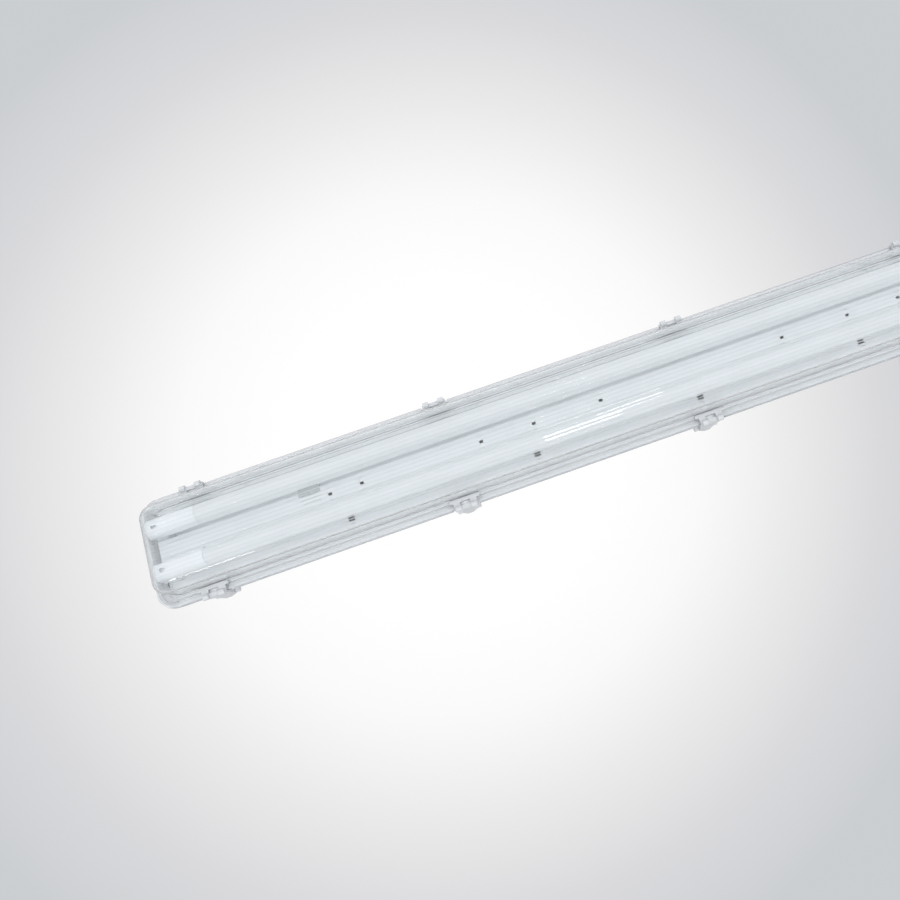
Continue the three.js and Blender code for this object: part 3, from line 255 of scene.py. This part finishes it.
def metal(name, colour, roughness):
    material, tree, shader = new_material(name)
    shader.inputs["Metallic"].default_value = 1.0
    grain = noise(tree, ROLLED_SCALE, ROLLED_DETAIL, ROLLED_STRETCH)
    low = tuple(c * ROLLED_SHADE for c in colour)
    tree.links.new(ramp(tree, grain, low, colour), shader.inputs["Base Color"])
    smoothest, roughest = (roughness * share for share in ROLLED_ROUGHNESS)
    tree.links.new(map_range(tree, grain, 0, 1, smoothest, roughest), shader.inputs["Roughness"])
    bump(tree, shader, grain, ROLLED_DEPTH, ROLLED_STRENGTH)
    return material


def blend_colour(material, factor, colour):
    """Mixes the material's base colour with another one, by the factor."""
    tree = material.node_tree
    base = tree.nodes["Principled BSDF"].inputs["Base Color"]
    before = base.links[0].from_socket
    mixed = tree.nodes.new("ShaderNodeMix")
    mixed.data_type = "RGBA"
    tree.links.new(factor, mixed.inputs["Factor"])
    # The node has sockets of the same name for each data type, so the colour ones are taken by number
    tree.links.new(before, mixed.inputs[6])
    mixed.inputs[7].default_value = (*colour, 1)
    tree.links.new(mixed.outputs[2], base)


def clear_plastic(name):
    """Clear on the front, with painted shade as fine dark lines along the grooves, milky on the sides, and painted
    shade that darkens the skirt and the ends, which are also less clear.
    """
    material, tree, shader = new_material(name)
    axes = axes_of(tree)
    wide = calculate(tree, "ABSOLUTE", axes["Y"])
    far = calculate(tree, "ABSOLUTE", axes["X"])

    turns = calculate(tree, "DIVIDE", axes["Y"], FLUTE_PITCH * MM)
    off = calculate(tree, "ABSOLUTE", calculate(tree, "SUBTRACT", calculate(tree, "FRACT", turns), 0.5))
    past = calculate(tree, "SUBTRACT", off, 0.5 - GROOVE_HALF / FLUTE_PITCH)
    groove = calculate(tree, "MULTIPLY", past, FLUTE_PITCH / GROOVE_HALF, clamp=True)
    front = calculate(tree, "LESS_THAN", axes["Z"], (FRONT_BAND - HEIGHT) * MM)
    # Painted shade: a darker tint along the grooves on the front, on the skirt and at the ends
    line = calculate(tree, "MULTIPLY", calculate(tree, "MULTIPLY", groove, front), GROOVE_SHADE_SHARE)
    skirt = fade(tree, wide, SKIRT_FADE, 0, SKIRT_SHADE_SHARE)
    end = fade(tree, far, END_FADE, 0, END_SHADE_SHARE)
    painted_shade = calculate(tree, "MAXIMUM", line, calculate(tree, "MAXIMUM", skirt, end))
    tree.links.new(ramp(tree, painted_shade, CLEAR_TINT, PAINTED_SHADE_TINT, 0, 1), shader.inputs["Base Color"])

    near_front = fade(tree, axes["Z"], SIDE_FADE, FRONT_CLARITY, SIDE_CLARITY)
    near_rim = fade(tree, axes["Z"], RIM_FADE, SIDE_CLARITY, RIM_CLARITY)
    near_end = fade(tree, far, END_FADE, 1, END_CLARITY)
    clarity = calculate(tree, "MINIMUM", calculate(tree, "MAXIMUM", near_front, near_rim), near_end)
    tree.links.new(clarity, shader.inputs["Transmission Weight"])
    shader.inputs["IOR"].default_value = COVER_IOR
    rough = map_range(tree, noise(tree, COVER_GRAIN), 0, 1, *COVER_ROUGHNESS)
    tree.links.new(rough, shader.inputs["Roughness"])

    # Shadow rays pass straight through, so that light reaches the inside
    path = tree.nodes.new("ShaderNodeLightPath")
    clear = tree.nodes.new("ShaderNodeBsdfTransparent")
    clear.inputs["Color"].default_value = (*SHADOW_TINT, 1)
    mixed = tree.nodes.new("ShaderNodeMixShader")
    tree.links.new(path.outputs["Is Shadow Ray"], mixed.inputs["Fac"])
    tree.links.new(shader.outputs["BSDF"], mixed.inputs[1])
    tree.links.new(clear.outputs["BSDF"], mixed.inputs[2])
    tree.links.new(mixed.outputs["Shader"], tree.nodes["Material Output"].inputs["Surface"])
    return material


def housing_plastic():
    """Grey outside, with painted light on the inward-facing walls of the slot round the tray, which are made paler
    there.
    """
    material = plastic("housing_grey", (0.70, 0.72, 0.735), 0.45)
    tree = material.node_tree
    axes, facing = axes_of(tree), axes_of(tree, "Normal")
    across = calculate(tree, "LESS_THAN", calculate(tree, "ABSOLUTE", axes["Y"]), PAINTED_LIGHT_REACH * MM)
    along = fade(tree, calculate(tree, "ABSOLUTE", axes["X"]), PAINTED_LIGHT_END_FADE, 1, 0)
    turned = calculate(tree, "MULTIPLY", facing["Y"], axes["Y"])
    inwards = calculate(tree, "LESS_THAN", turned, 0)
    inside = calculate(tree, "MULTIPLY", calculate(tree, "MULTIPLY", across, inwards), along)
    deep = fade(tree, axes["Z"], PAINTED_LIGHT_DEPTH_FADE, 1, 0)
    # Painted light: the paler colour on the inward-facing walls deep in the slot
    blend_colour(material, calculate(tree, "MULTIPLY", inside, deep), PAINTED_LIGHT_WALL)
    return material


def tube_plastic():
    """Frosted, with painted light down the side towards -Y: paler there, in place of the light that the frosted wall
    would scatter round.
    """
    material = plastic("frosted_tube", (0.69, 0.72, 0.735), 0.4, 1500.0, 0.00001, 0.01)
    tree = material.node_tree
    # Painted light: paler where the face looks towards -Y
    painted_light_side = map_range(tree, axes_of(tree, "Normal")["Y"], *PAINTED_LIGHT_TUBE_NORMALS, 0, 1)
    blend_colour(material, painted_light_side, PAINTED_LIGHT_TUBE)
    return material


looks = {
    "housing": housing_plastic(),
    "clear": clear_plastic("clear_cover"),
    "foam": plastic("foam_seal", (0.78, 0.80, 0.81), 0.9, 1500.0, 0.0002),
    "painted_steel": plastic("powder_coat", (0.84, 0.87, 0.885), 0.45, 700.0, 0.00003, 0.015),
    "clip": plastic("clip_plastic", (0.60, 0.62, 0.635), 0.25, 1200.0, 0.00001, 0.02),
    # Painted light: the pale pads that brighten the shade behind the clips' windows
    "seat": plastic("pale_pad_painted_light", (0.88, 0.90, 0.91), 0.7, 1200.0, 0.00001, 0.02),
    "white": plastic("white_moulding", (0.77, 0.80, 0.82), 0.35, 1000.0, 0.00002, 0.015),
    "frosted": tube_plastic(),
    "board": plastic("coated_board", (0.78, 0.78, 0.70), 0.5),
    "block": plastic("terminal_moulding", (0.60, 0.63, 0.64), 0.45),
    "stainless": metal("rolled_steel", (0.62, 0.63, 0.64), 0.3),
    "rubber": plastic("black_rubber", (0.045, 0.045, 0.05), 0.75),
    "gland": plastic("gland_moulding", (0.42, 0.45, 0.46), 0.4),
    "brown": plastic("brown_insulation", (0.12, 0.05, 0.02), 0.4),
    "blue": plastic("blue_insulation", (0.03, 0.12, 0.40), 0.4),
    "green": plastic("green_insulation", (0.16, 0.37, 0.03), 0.4),
}
slots = {part["node"]: part["material_slot"] for part in frame["record"]["subparts"]}


# Shading

def smooth(mesh, angle):
    """Smooth shading, with the edges steeper than the angle kept sharp."""
    for polygon in mesh.polygons:
        polygon.use_smooth = True
    limit = math.cos(math.radians(angle))
    normals = {}
    for polygon in mesh.polygons:
        for key in polygon.edge_keys:
            normals.setdefault(key, []).append(polygon.normal)
    for edge in mesh.edges:
        sides = normals.get(tuple(sorted(edge.vertices)), [])
        edge.use_edge_sharp = len(sides) != 2 or sides[0].dot(sides[1]) < limit


def smoothing_nodes(angle):
    """The same as a node group, which the CAD nodes take as a modifier."""
    group = bpy.data.node_groups.new("smooth_by_angle", "GeometryNodeTree")
    group.interface.new_socket("Geometry", in_out="INPUT", socket_type="NodeSocketGeometry")
    group.interface.new_socket("Geometry", in_out="OUTPUT", socket_type="NodeSocketGeometry")
    start = group.nodes.new("NodeGroupInput")
    end = group.nodes.new("NodeGroupOutput")
    faces = group.nodes.new("GeometryNodeSetShadeSmooth")
    faces.domain = "FACE"
    faces.inputs["Shade Smooth"].default_value = True
    edges = group.nodes.new("GeometryNodeSetShadeSmooth")
    edges.domain = "EDGE"
    edges.inputs["Shade Smooth"].default_value = False
    bend = group.nodes.new("GeometryNodeInputMeshEdgeAngle")
    steep = group.nodes.new("FunctionNodeCompare")
    steep.data_type = "FLOAT"
    steep.operation = "GREATER_THAN"
    steep.inputs[1].default_value = math.radians(angle)
    group.links.new(bend.outputs["Unsigned Angle"], steep.inputs[0])
    group.links.new(start.outputs[0], faces.inputs["Geometry"])
    group.links.new(faces.outputs["Geometry"], edges.inputs["Geometry"])
    group.links.new(steep.outputs["Result"], edges.inputs["Selection"])
    group.links.new(edges.outputs["Geometry"], end.inputs[0])
    return group


smoothing = smoothing_nodes(SMOOTH_ANGLE)
for name, piece in nodes.items():
    piece.data.materials.clear()
    piece.data.materials.append(looks[slots[name]])
    rounded = piece.modifiers.new("smoothing", "NODES")
    rounded.node_group = smoothing
    weighted = piece.modifiers.new("weighting", "WEIGHTED_NORMAL")
    weighted.keep_sharp = True


def object_from(name, vertices, faces, material, body="fitting", angle=SMOOTH_ANGLE):
    """A piece from vertices in millimetres. Edges of no length, where points coincide, are taken out."""
    mesh = bpy.data.meshes.new(name)
    mesh.from_pydata([Vector(v) * MM for v in vertices], [], faces)
    mesh.validate()
    tidied = bmesh.new()
    tidied.from_mesh(mesh)
    bmesh.ops.dissolve_degenerate(tidied, dist=SMALLEST_EDGE, edges=tidied.edges)
    tidied.to_mesh(mesh)
    tidied.free()
    mesh.update()
    smooth(mesh, angle)
    mesh.materials.append(material)
    made = bpy.data.objects.new(name, mesh)
    scene.collection.objects.link(made)
    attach(made, body)
    return made


# Cover: one closed shell, fluted along the front

def flute_lines():
    """Where the front's mesh has its lengthwise lines: at the grooves, on the crowns and round the corners."""
    half = FLUTES * FLUTE_PITCH / 2
    steps = [
        0, GROOVE_HALF, FLUTE_SHOULDER, FLUTE_PITCH / 2, FLUTE_PITCH - FLUTE_SHOULDER, FLUTE_PITCH - GROOVE_HALF,
    ]
    lines = [-half + i * FLUTE_PITCH + s for i in range(FLUTES) for s in steps] + [half]
    arcs = [FRONT_Y + FRONT_CORNER * math.sin(k / CORNER_STEPS * HALF_PI) for k in range(CORNER_STEPS + 1)]
    lines += arcs + [-y for y in arcs]
    kept = []
    for y in sorted(lines):
        if not kept or y - kept[-1] > CLOSEST_LINES:
            kept.append(y)
    return kept


def flute_height(y):
    """Height over the front's plane, never above it, so that the cover stays inside the solid."""
    half = FLUTES * FLUTE_PITCH / 2
    if abs(y) > half - ROUNDING:
        return 0.0
    t = (y + half) % FLUTE_PITCH
    t = min(t, FLUTE_PITCH - t)
    crown = FLUTE_CROWN * (1 - (1 - 2 * t / FLUTE_PITCH) ** 2)
    return crown - FLUTE_CROWN - GROOVE_DEPTH * max(0.0, 1 - t / GROOVE_HALF)


def columns():
    """Where the mesh has its crosswise lines: at the ends and beside the notches for the clips."""
    xs = [-FRONT_X, -FRONT_X + FLUTE_RUNOUT]
    for x in CLIP_XS:
        start, end = x - NOTCH_HALF, x + NOTCH_HALF
        xs += [start - NOTCH_SLOPE, start, end, end + NOTCH_SLOPE]
    return xs + [FRONT_X - FLUTE_RUNOUT, FRONT_X]


def in_notch(x):
    return any(abs(x - c) < NOTCH_HALF + NOTCH_TOLERANCE for c in CLIP_XS)


def cover_ring(xs, ys, depth, inset, corner, notched):
    """One loop of points: the -Y side, the +X end, the +Y side and the -X end."""
    reach_x, reach_y = HALF_LENGTH - inset, HALF_WIDTH - inset
    centre_x, centre_y = reach_x - corner, reach_y - corner
    ends = []
    for y in ys[1:-1]:
        if abs(y) <= FRONT_Y:
            ends.append((reach_x, y, -depth))
        else:
            sine = (abs(y) - FRONT_Y) / FRONT_CORNER
            side = 1 if y > 0 else -1
            x = centre_x + corner * math.sqrt(max(0, 1 - sine * sine))
            ends.append((x, side * (centre_y + corner * sine), -depth))
    points = []
    for side in (-1, 1):
        row = []
        for x in xs:
            across, down = reach_y, depth
            if notched and in_notch(x):
                across = min(reach_y, HALF_WIDTH - NOTCH_INSET)
                down = max(depth, FLANGE_BACK)
            row.append((x, side * across, -down))
        if side < 0:
            points += row + ends
        else:
            points += row[::-1] + [(-x, y, z) for x, y, z in reversed(ends)]
    return points


def dome_rings(wall):
    """Depth, inset and corner radius of each loop from below the front down to the dome's foot."""
    foot = RIM_WIDTH + wall
    radius = DOME_EDGE - wall
    rings = []
    for i in range(1, DOME_STEPS + 1):
        angle = i / DOME_STEPS * HALF_PI
        depth = HEIGHT - DOME_EDGE + radius * math.cos(angle)
        rings.append((depth, foot + DOME_DRAFT + radius * (1 - math.sin(angle))))
    if wall == 0:
        rings += [(RIM_DEPTH + FOOT_STEP, foot + FOOT_EASE), (RIM_DEPTH, foot - FOOT_STEP)]
    else:
        rings.append((RIM_DEPTH, foot + FOOT_EASE))
    return [(depth, inset, max(DOME_CORNER - (inset - RIM_WIDTH), SMALLEST_CORNER)) for depth, inset in rings]


def rim_rings():
    """The same round the rim: its rounded edge, the skirt, the groove behind it, the tongue and the flange."""
    skirt_soft, tongue_soft = SKIRT_BACK + SKIRT_SOFT, TONGUE_BACK + TONGUE_SOFT
    profile = [
        (RIM_DEPTH, RIM_ROUND), (RIM_DEPTH - RIM_ROUND_MIDDLE, RIM_ROUND_MIDDLE), (RIM_DEPTH - RIM_ROUND, 0.0),
        (FLANGE_BACK, 0.0), (skirt_soft, 0.0), (SKIRT_BACK, SKIRT_SOFT),
        (SKIRT_BACK, SKIRT_WALL - SKIRT_SOFT), (skirt_soft, SKIRT_WALL), (FLANGE_BACK, SKIRT_WALL),
        (FLANGE_BACK, TONGUE_OUT), (tongue_soft, TONGUE_OUT), (TONGUE_BACK, TONGUE_OUT + TONGUE_SOFT),
        (TONGUE_BACK, TONGUE_IN - TONGUE_SOFT), (tongue_soft, TONGUE_IN), (FLANGE_BACK, TONGUE_IN),
        (FLANGE_BACK, RIM_WIDTH + COVER_WALL),
    ]
    rings = []
    for depth, inset in profile:
        if inset < RIM_WIDTH:
            corner = max(RIM_CORNER - inset, SMALLEST_CORNER)
        else:
            corner = DOME_CORNER - (inset - RIM_WIDTH)
        rings.append((depth, inset, corner))
    return rings


def cover():
    xs, ys = columns(), flute_lines()
    wide, high = len(xs), len(ys)
    vertices, faces = [], []

    def front(depth, fluted):
        """The front's grid. Returns the indices of its outline, in the order of cover_ring."""
        start = len(vertices)
        for y in ys:
            sine = max(0.0, (abs(y) - FRONT_Y) / FRONT_CORNER)
            reach = FRONT_X + FRONT_CORNER * math.sqrt(max(0.0, 1 - sine * sine))
            line = [-reach, -reach + FLUTE_RUNOUT] + xs[2:-2] + [reach - FLUTE_RUNOUT, reach]
            for k, x in enumerate(line):
                lift = flute_height(y) if fluted and 0 < k < wide - 1 else 0.0
                vertices.append((x, y, -depth - lift))
        rows = [list(range(start + j * wide, start + (j + 1) * wide)) for j in range(high)]
        for row, after in zip(rows, rows[1:]):
            for k in range(wide - 1):
                quad = (row[k], after[k], after[k + 1], row[k + 1])
                faces.append(quad if fluted else quad[::-1])
        between = rows[1:-1]
        return rows[0] + [row[-1] for row in between] + rows[-1][::-1] + [row[0] for row in reversed(between)]

    def ring(depth, inset, corner, notched=False):
        start = len(vertices)
        vertices.extend(cover_ring(xs, ys, depth, inset, corner, notched))
        return list(range(start, len(vertices)))

    def bridge(a, b):
        count = len(a)
        for i in range(count):
            n = (i + 1) % count
            faces.append((a[i], a[n], b[n], b[i]))

    chain = [front(HEIGHT, True)]
    chain += [ring(*loop) for loop in dome_rings(0)]
    chain += [ring(*loop, notched=True) for loop in rim_rings()]
    chain += [ring(*loop) for loop in reversed(dome_rings(COVER_WALL))]
    chain.append(front(HEIGHT - COVER_WALL, False))
    for a, b in zip(chain, chain[1:]):
        bridge(a, b)
    made = object_from("cover_shell", vertices, faces, looks["clear"], angle=COVER_SMOOTH_ANGLE)
    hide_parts("diffuser")


# Tray: the rolled lip round its edge and the tabs that close the ends of its channel

def rounded_outline(reach_x, reach_y, radius, depth):
    points = []
    for side_x, side_y, first in ((1, 1, 0), (-1, 1, 1), (-1, -1, 2), (1, -1, 3)):
        for k in range(LIP_CORNER_STEPS + 1):
            angle = (first + k / LIP_CORNER_STEPS) * HALF_PI
            points.append((
                side_x * (reach_x - radius) + radius * math.cos(angle),
                side_y * (reach_y - radius) + radius * math.sin(angle),
                -depth,
            ))
    return points


def tray_lip():
    vertices, faces = [], []
    for out, radius, back in LIP_PROFILE:
        vertices += rounded_outline(TRAY_HALF_LENGTH + out, TRAY_HALF_WIDTH + out, radius, TRAY_DEPTH - back)
    rings = len(LIP_PROFILE)
    around = len(vertices) // rings
    for ring in range(rings):
        here, after = ring * around, (ring + 1) % rings * around
        for k in range(around):
            n = (k + 1) % around
            faces.append((here + n, after + n, after + k, here + k))
    object_from("tray_lip", vertices, faces, looks["painted_steel"])


def channel_end(name, side):
    """A folded tab with clipped corners and a wire notch at its back."""
    half = CHANNEL_WIDTH / 2 - SHEET - CLEARANCE
    front, back = CHANNEL_DEPTH - SHEET - CLEARANCE, TRAY_DEPTH - SHEET
    outline = [
        (-half, -back), (-TAB_NOTCH_FOOT, -back), (-TAB_NOTCH_HEAD, -back - TAB_NOTCH_RISE),
        (TAB_NOTCH_HEAD, -back - TAB_NOTCH_RISE), (TAB_NOTCH_FOOT, -back), (half, -back),
        (half, -front + TAB_CLIPPED), (half - TAB_CLIPPED, -front),
        (-half + TAB_CLIPPED, -front), (-half, -front + TAB_CLIPPED),
    ]
    outside = TRAY_HALF_LENGTH - CLEARANCE
    vertices = [(side * x, y, z) for x in (outside, outside - SHEET) for y, z in outline]
    count = len(outline)
    # The outline isn't convex because of the notch, so each face of the plate is filled in three strips
    strips = [(0, 1, 2, 8, 9), (2, 3, 7, 8), (3, 4, 5, 6, 7)]
    faces = []
    for strip in strips:
        faces.append(strip)
        faces.append(tuple(i + count for i in reversed(strip)))
    for k in range(count):
        n = (k + 1) % count
        faces.append((n, k, k + count, n + count))
    if side > 0:
        faces = [face[::-1] for face in faces]
    object_from(name, vertices, faces, looks["painted_steel"])


def clip_seats():
    """Pale pads on the cover's rim behind the clips' windows: painted light in the windows' shade."""
    vertices, faces = [], []
    for x in CLIP_XS:
        for side in (1, -1):
            first = len(vertices)
            for depth in SEAT_DEPTHS:
                for dx, inset in ((-1, 0), (1, 0), (1, 1), (-1, 1)):
                    vertices.append((x + dx * SEAT_HALF, side * (SEAT_OUT - inset * SEAT_WIDTH), -depth))
            faces += [tuple(first + i for i in face[::side]) for face in BOX_FACES]
    object_from("clip_seats", vertices, faces, looks["seat"])


cover()
clip_seats()
tray_lip()
channel_end("channel_end_supply", 1)
channel_end("channel_end_far", -1)

# Camera, fitted to the photo

CAMERA_PLACE = (0.28239, -0.22613, -1.05301)
CAMERA_TURN = (-0.00430736, -0.16623039, 0.97722029, -0.13186893)

camera = bpy.data.cameras.new("camera")
camera.lens = 29.592
camera.sensor_width = 36.0
camera.shift_x = -0.0722
camera.shift_y = -0.0556
camera_object = bpy.data.objects.new("camera", camera)
scene.collection.objects.link(camera_object)
camera_object.matrix_world = Matrix.LocRotScale(Vector(CAMERA_PLACE), Quaternion(CAMERA_TURN), None)
scene.camera = camera_object

# Lights

scene.view_settings.view_transform = "Standard"


def softbox(name, place, aim, size, power, turn=0.0):
    light = bpy.data.lights.new(name, "AREA")
    light.shape = "RECTANGLE"
    light.size, light.size_y = size
    light.energy = power
    made = bpy.data.objects.new(name, light)
    made.location = place
    made.rotation_mode = "QUATERNION"
    facing = (Vector(aim) - Vector(place)).to_track_quat("-Z", "Y")
    made.rotation_quaternion = Quaternion((0, 0, 1), turn) @ facing
    made.visible_camera = False
    made.visible_transmission = False
    scene.collection.objects.link(made)
    return made


# The narrow ones, straight below, each make one of the highlights that the photo shows along the flutes
softbox("key", (0.9, -0.9, -2.4), (0.1, 0, 0), (1.6, 1.2), 1.5)
softbox("streak", (0.0135, 0.2515, -1.5), (0.0135, 0.2515, 0), (0.27, 0.02), 0.25, -0.02)
softbox("streak_end", (-0.15, 0.2655, -1.5), (-0.15, 0.2655, 0), (0.24, 0.012), 0.07, -0.03)
softbox("streak_top", (-0.053, 0.285, -1.5), (-0.053, 0.285, 0), (0.42, 0.006), 0.045)
back = softbox("back", (-1.4, -1.6, 2.2), (0, 0, 0), (1.2, 0.8), 14)
back.visible_glossy = False
softbox("glint", (1.28, 0.2151, -1.5), (1.28, 0.2151, 0), (0.29, 0.004), 0.09)

# Surroundings: the photo's backdrop for rays that see them, and an even light from below for all others

LIGHT_BELOW = 1.68
LIGHT_ASIDE = 0.60
LIGHT_COLOUR = (0.98, 0.985, 1.0)
BRIGHTEST_WAY = (0.0692, 0.2247, 0.972)
BACKDROP = [
    (0.0, (0.70, 0.71, 0.72)), (0.60, (0.64, 0.655, 0.67)), (0.74, (0.60, 0.62, 0.64)),
    (0.80, (0.60, 0.62, 0.64)), (0.855, (0.70, 0.70, 0.72)), (0.905, (0.83, 0.83, 0.83)),
    (0.945, (0.955, 0.955, 0.955)), (0.975, (1.0, 1.0, 1.0)),
]

world = bpy.data.worlds.new("surroundings")
world.use_nodes = True
scene.world = world
tree = world.node_tree
tree.nodes.clear()

direction = tree.nodes.new("ShaderNodeTexCoord")
towards = tree.nodes.new("ShaderNodeVectorMath")
towards.operation = "DOT_PRODUCT"
towards.inputs[1].default_value = BRIGHTEST_WAY
tree.links.new(direction.outputs["Generated"], towards.inputs[0])
fall = tree.nodes.new("ShaderNodeValToRGB")
stops = fall.color_ramp.elements
while len(stops) < len(BACKDROP):
    stops.new(0.5)
for stop, (place, colour) in zip(stops, BACKDROP):
    stop.position = place
    stop.color = (*colour, 1)
tree.links.new(towards.outputs["Value"], fall.inputs["Fac"])
seen = tree.nodes.new("ShaderNodeBackground")
tree.links.new(fall.outputs["Color"], seen.inputs["Color"])

lit = tree.nodes.new("ShaderNodeBackground")
lit.inputs["Color"].default_value = (*LIGHT_COLOUR, 1)
from_below = map_range(tree, axes_of(tree, "Generated")["Z"], -1.0, 0.0, LIGHT_BELOW, LIGHT_ASIDE)
tree.links.new(from_below, lit.inputs["Strength"])

rays = tree.nodes.new("ShaderNodeLightPath").outputs
mirrored = calculate(tree, "MAXIMUM", rays["Is Camera Ray"], rays["Is Glossy Ray"])
looking = calculate(tree, "MAXIMUM", mirrored, rays["Is Transmission Ray"])
straight = calculate(tree, "LESS_THAN", rays["Diffuse Depth"], 0.5)
mix = tree.nodes.new("ShaderNodeMixShader")
tree.links.new(calculate(tree, "MULTIPLY", looking, straight), mix.inputs["Fac"])
tree.links.new(lit.outputs["Background"], mix.inputs[1])
tree.links.new(seen.outputs["Background"], mix.inputs[2])
out = tree.nodes.new("ShaderNodeOutputWorld")
tree.links.new(mix.outputs["Shader"], out.inputs["Surface"])
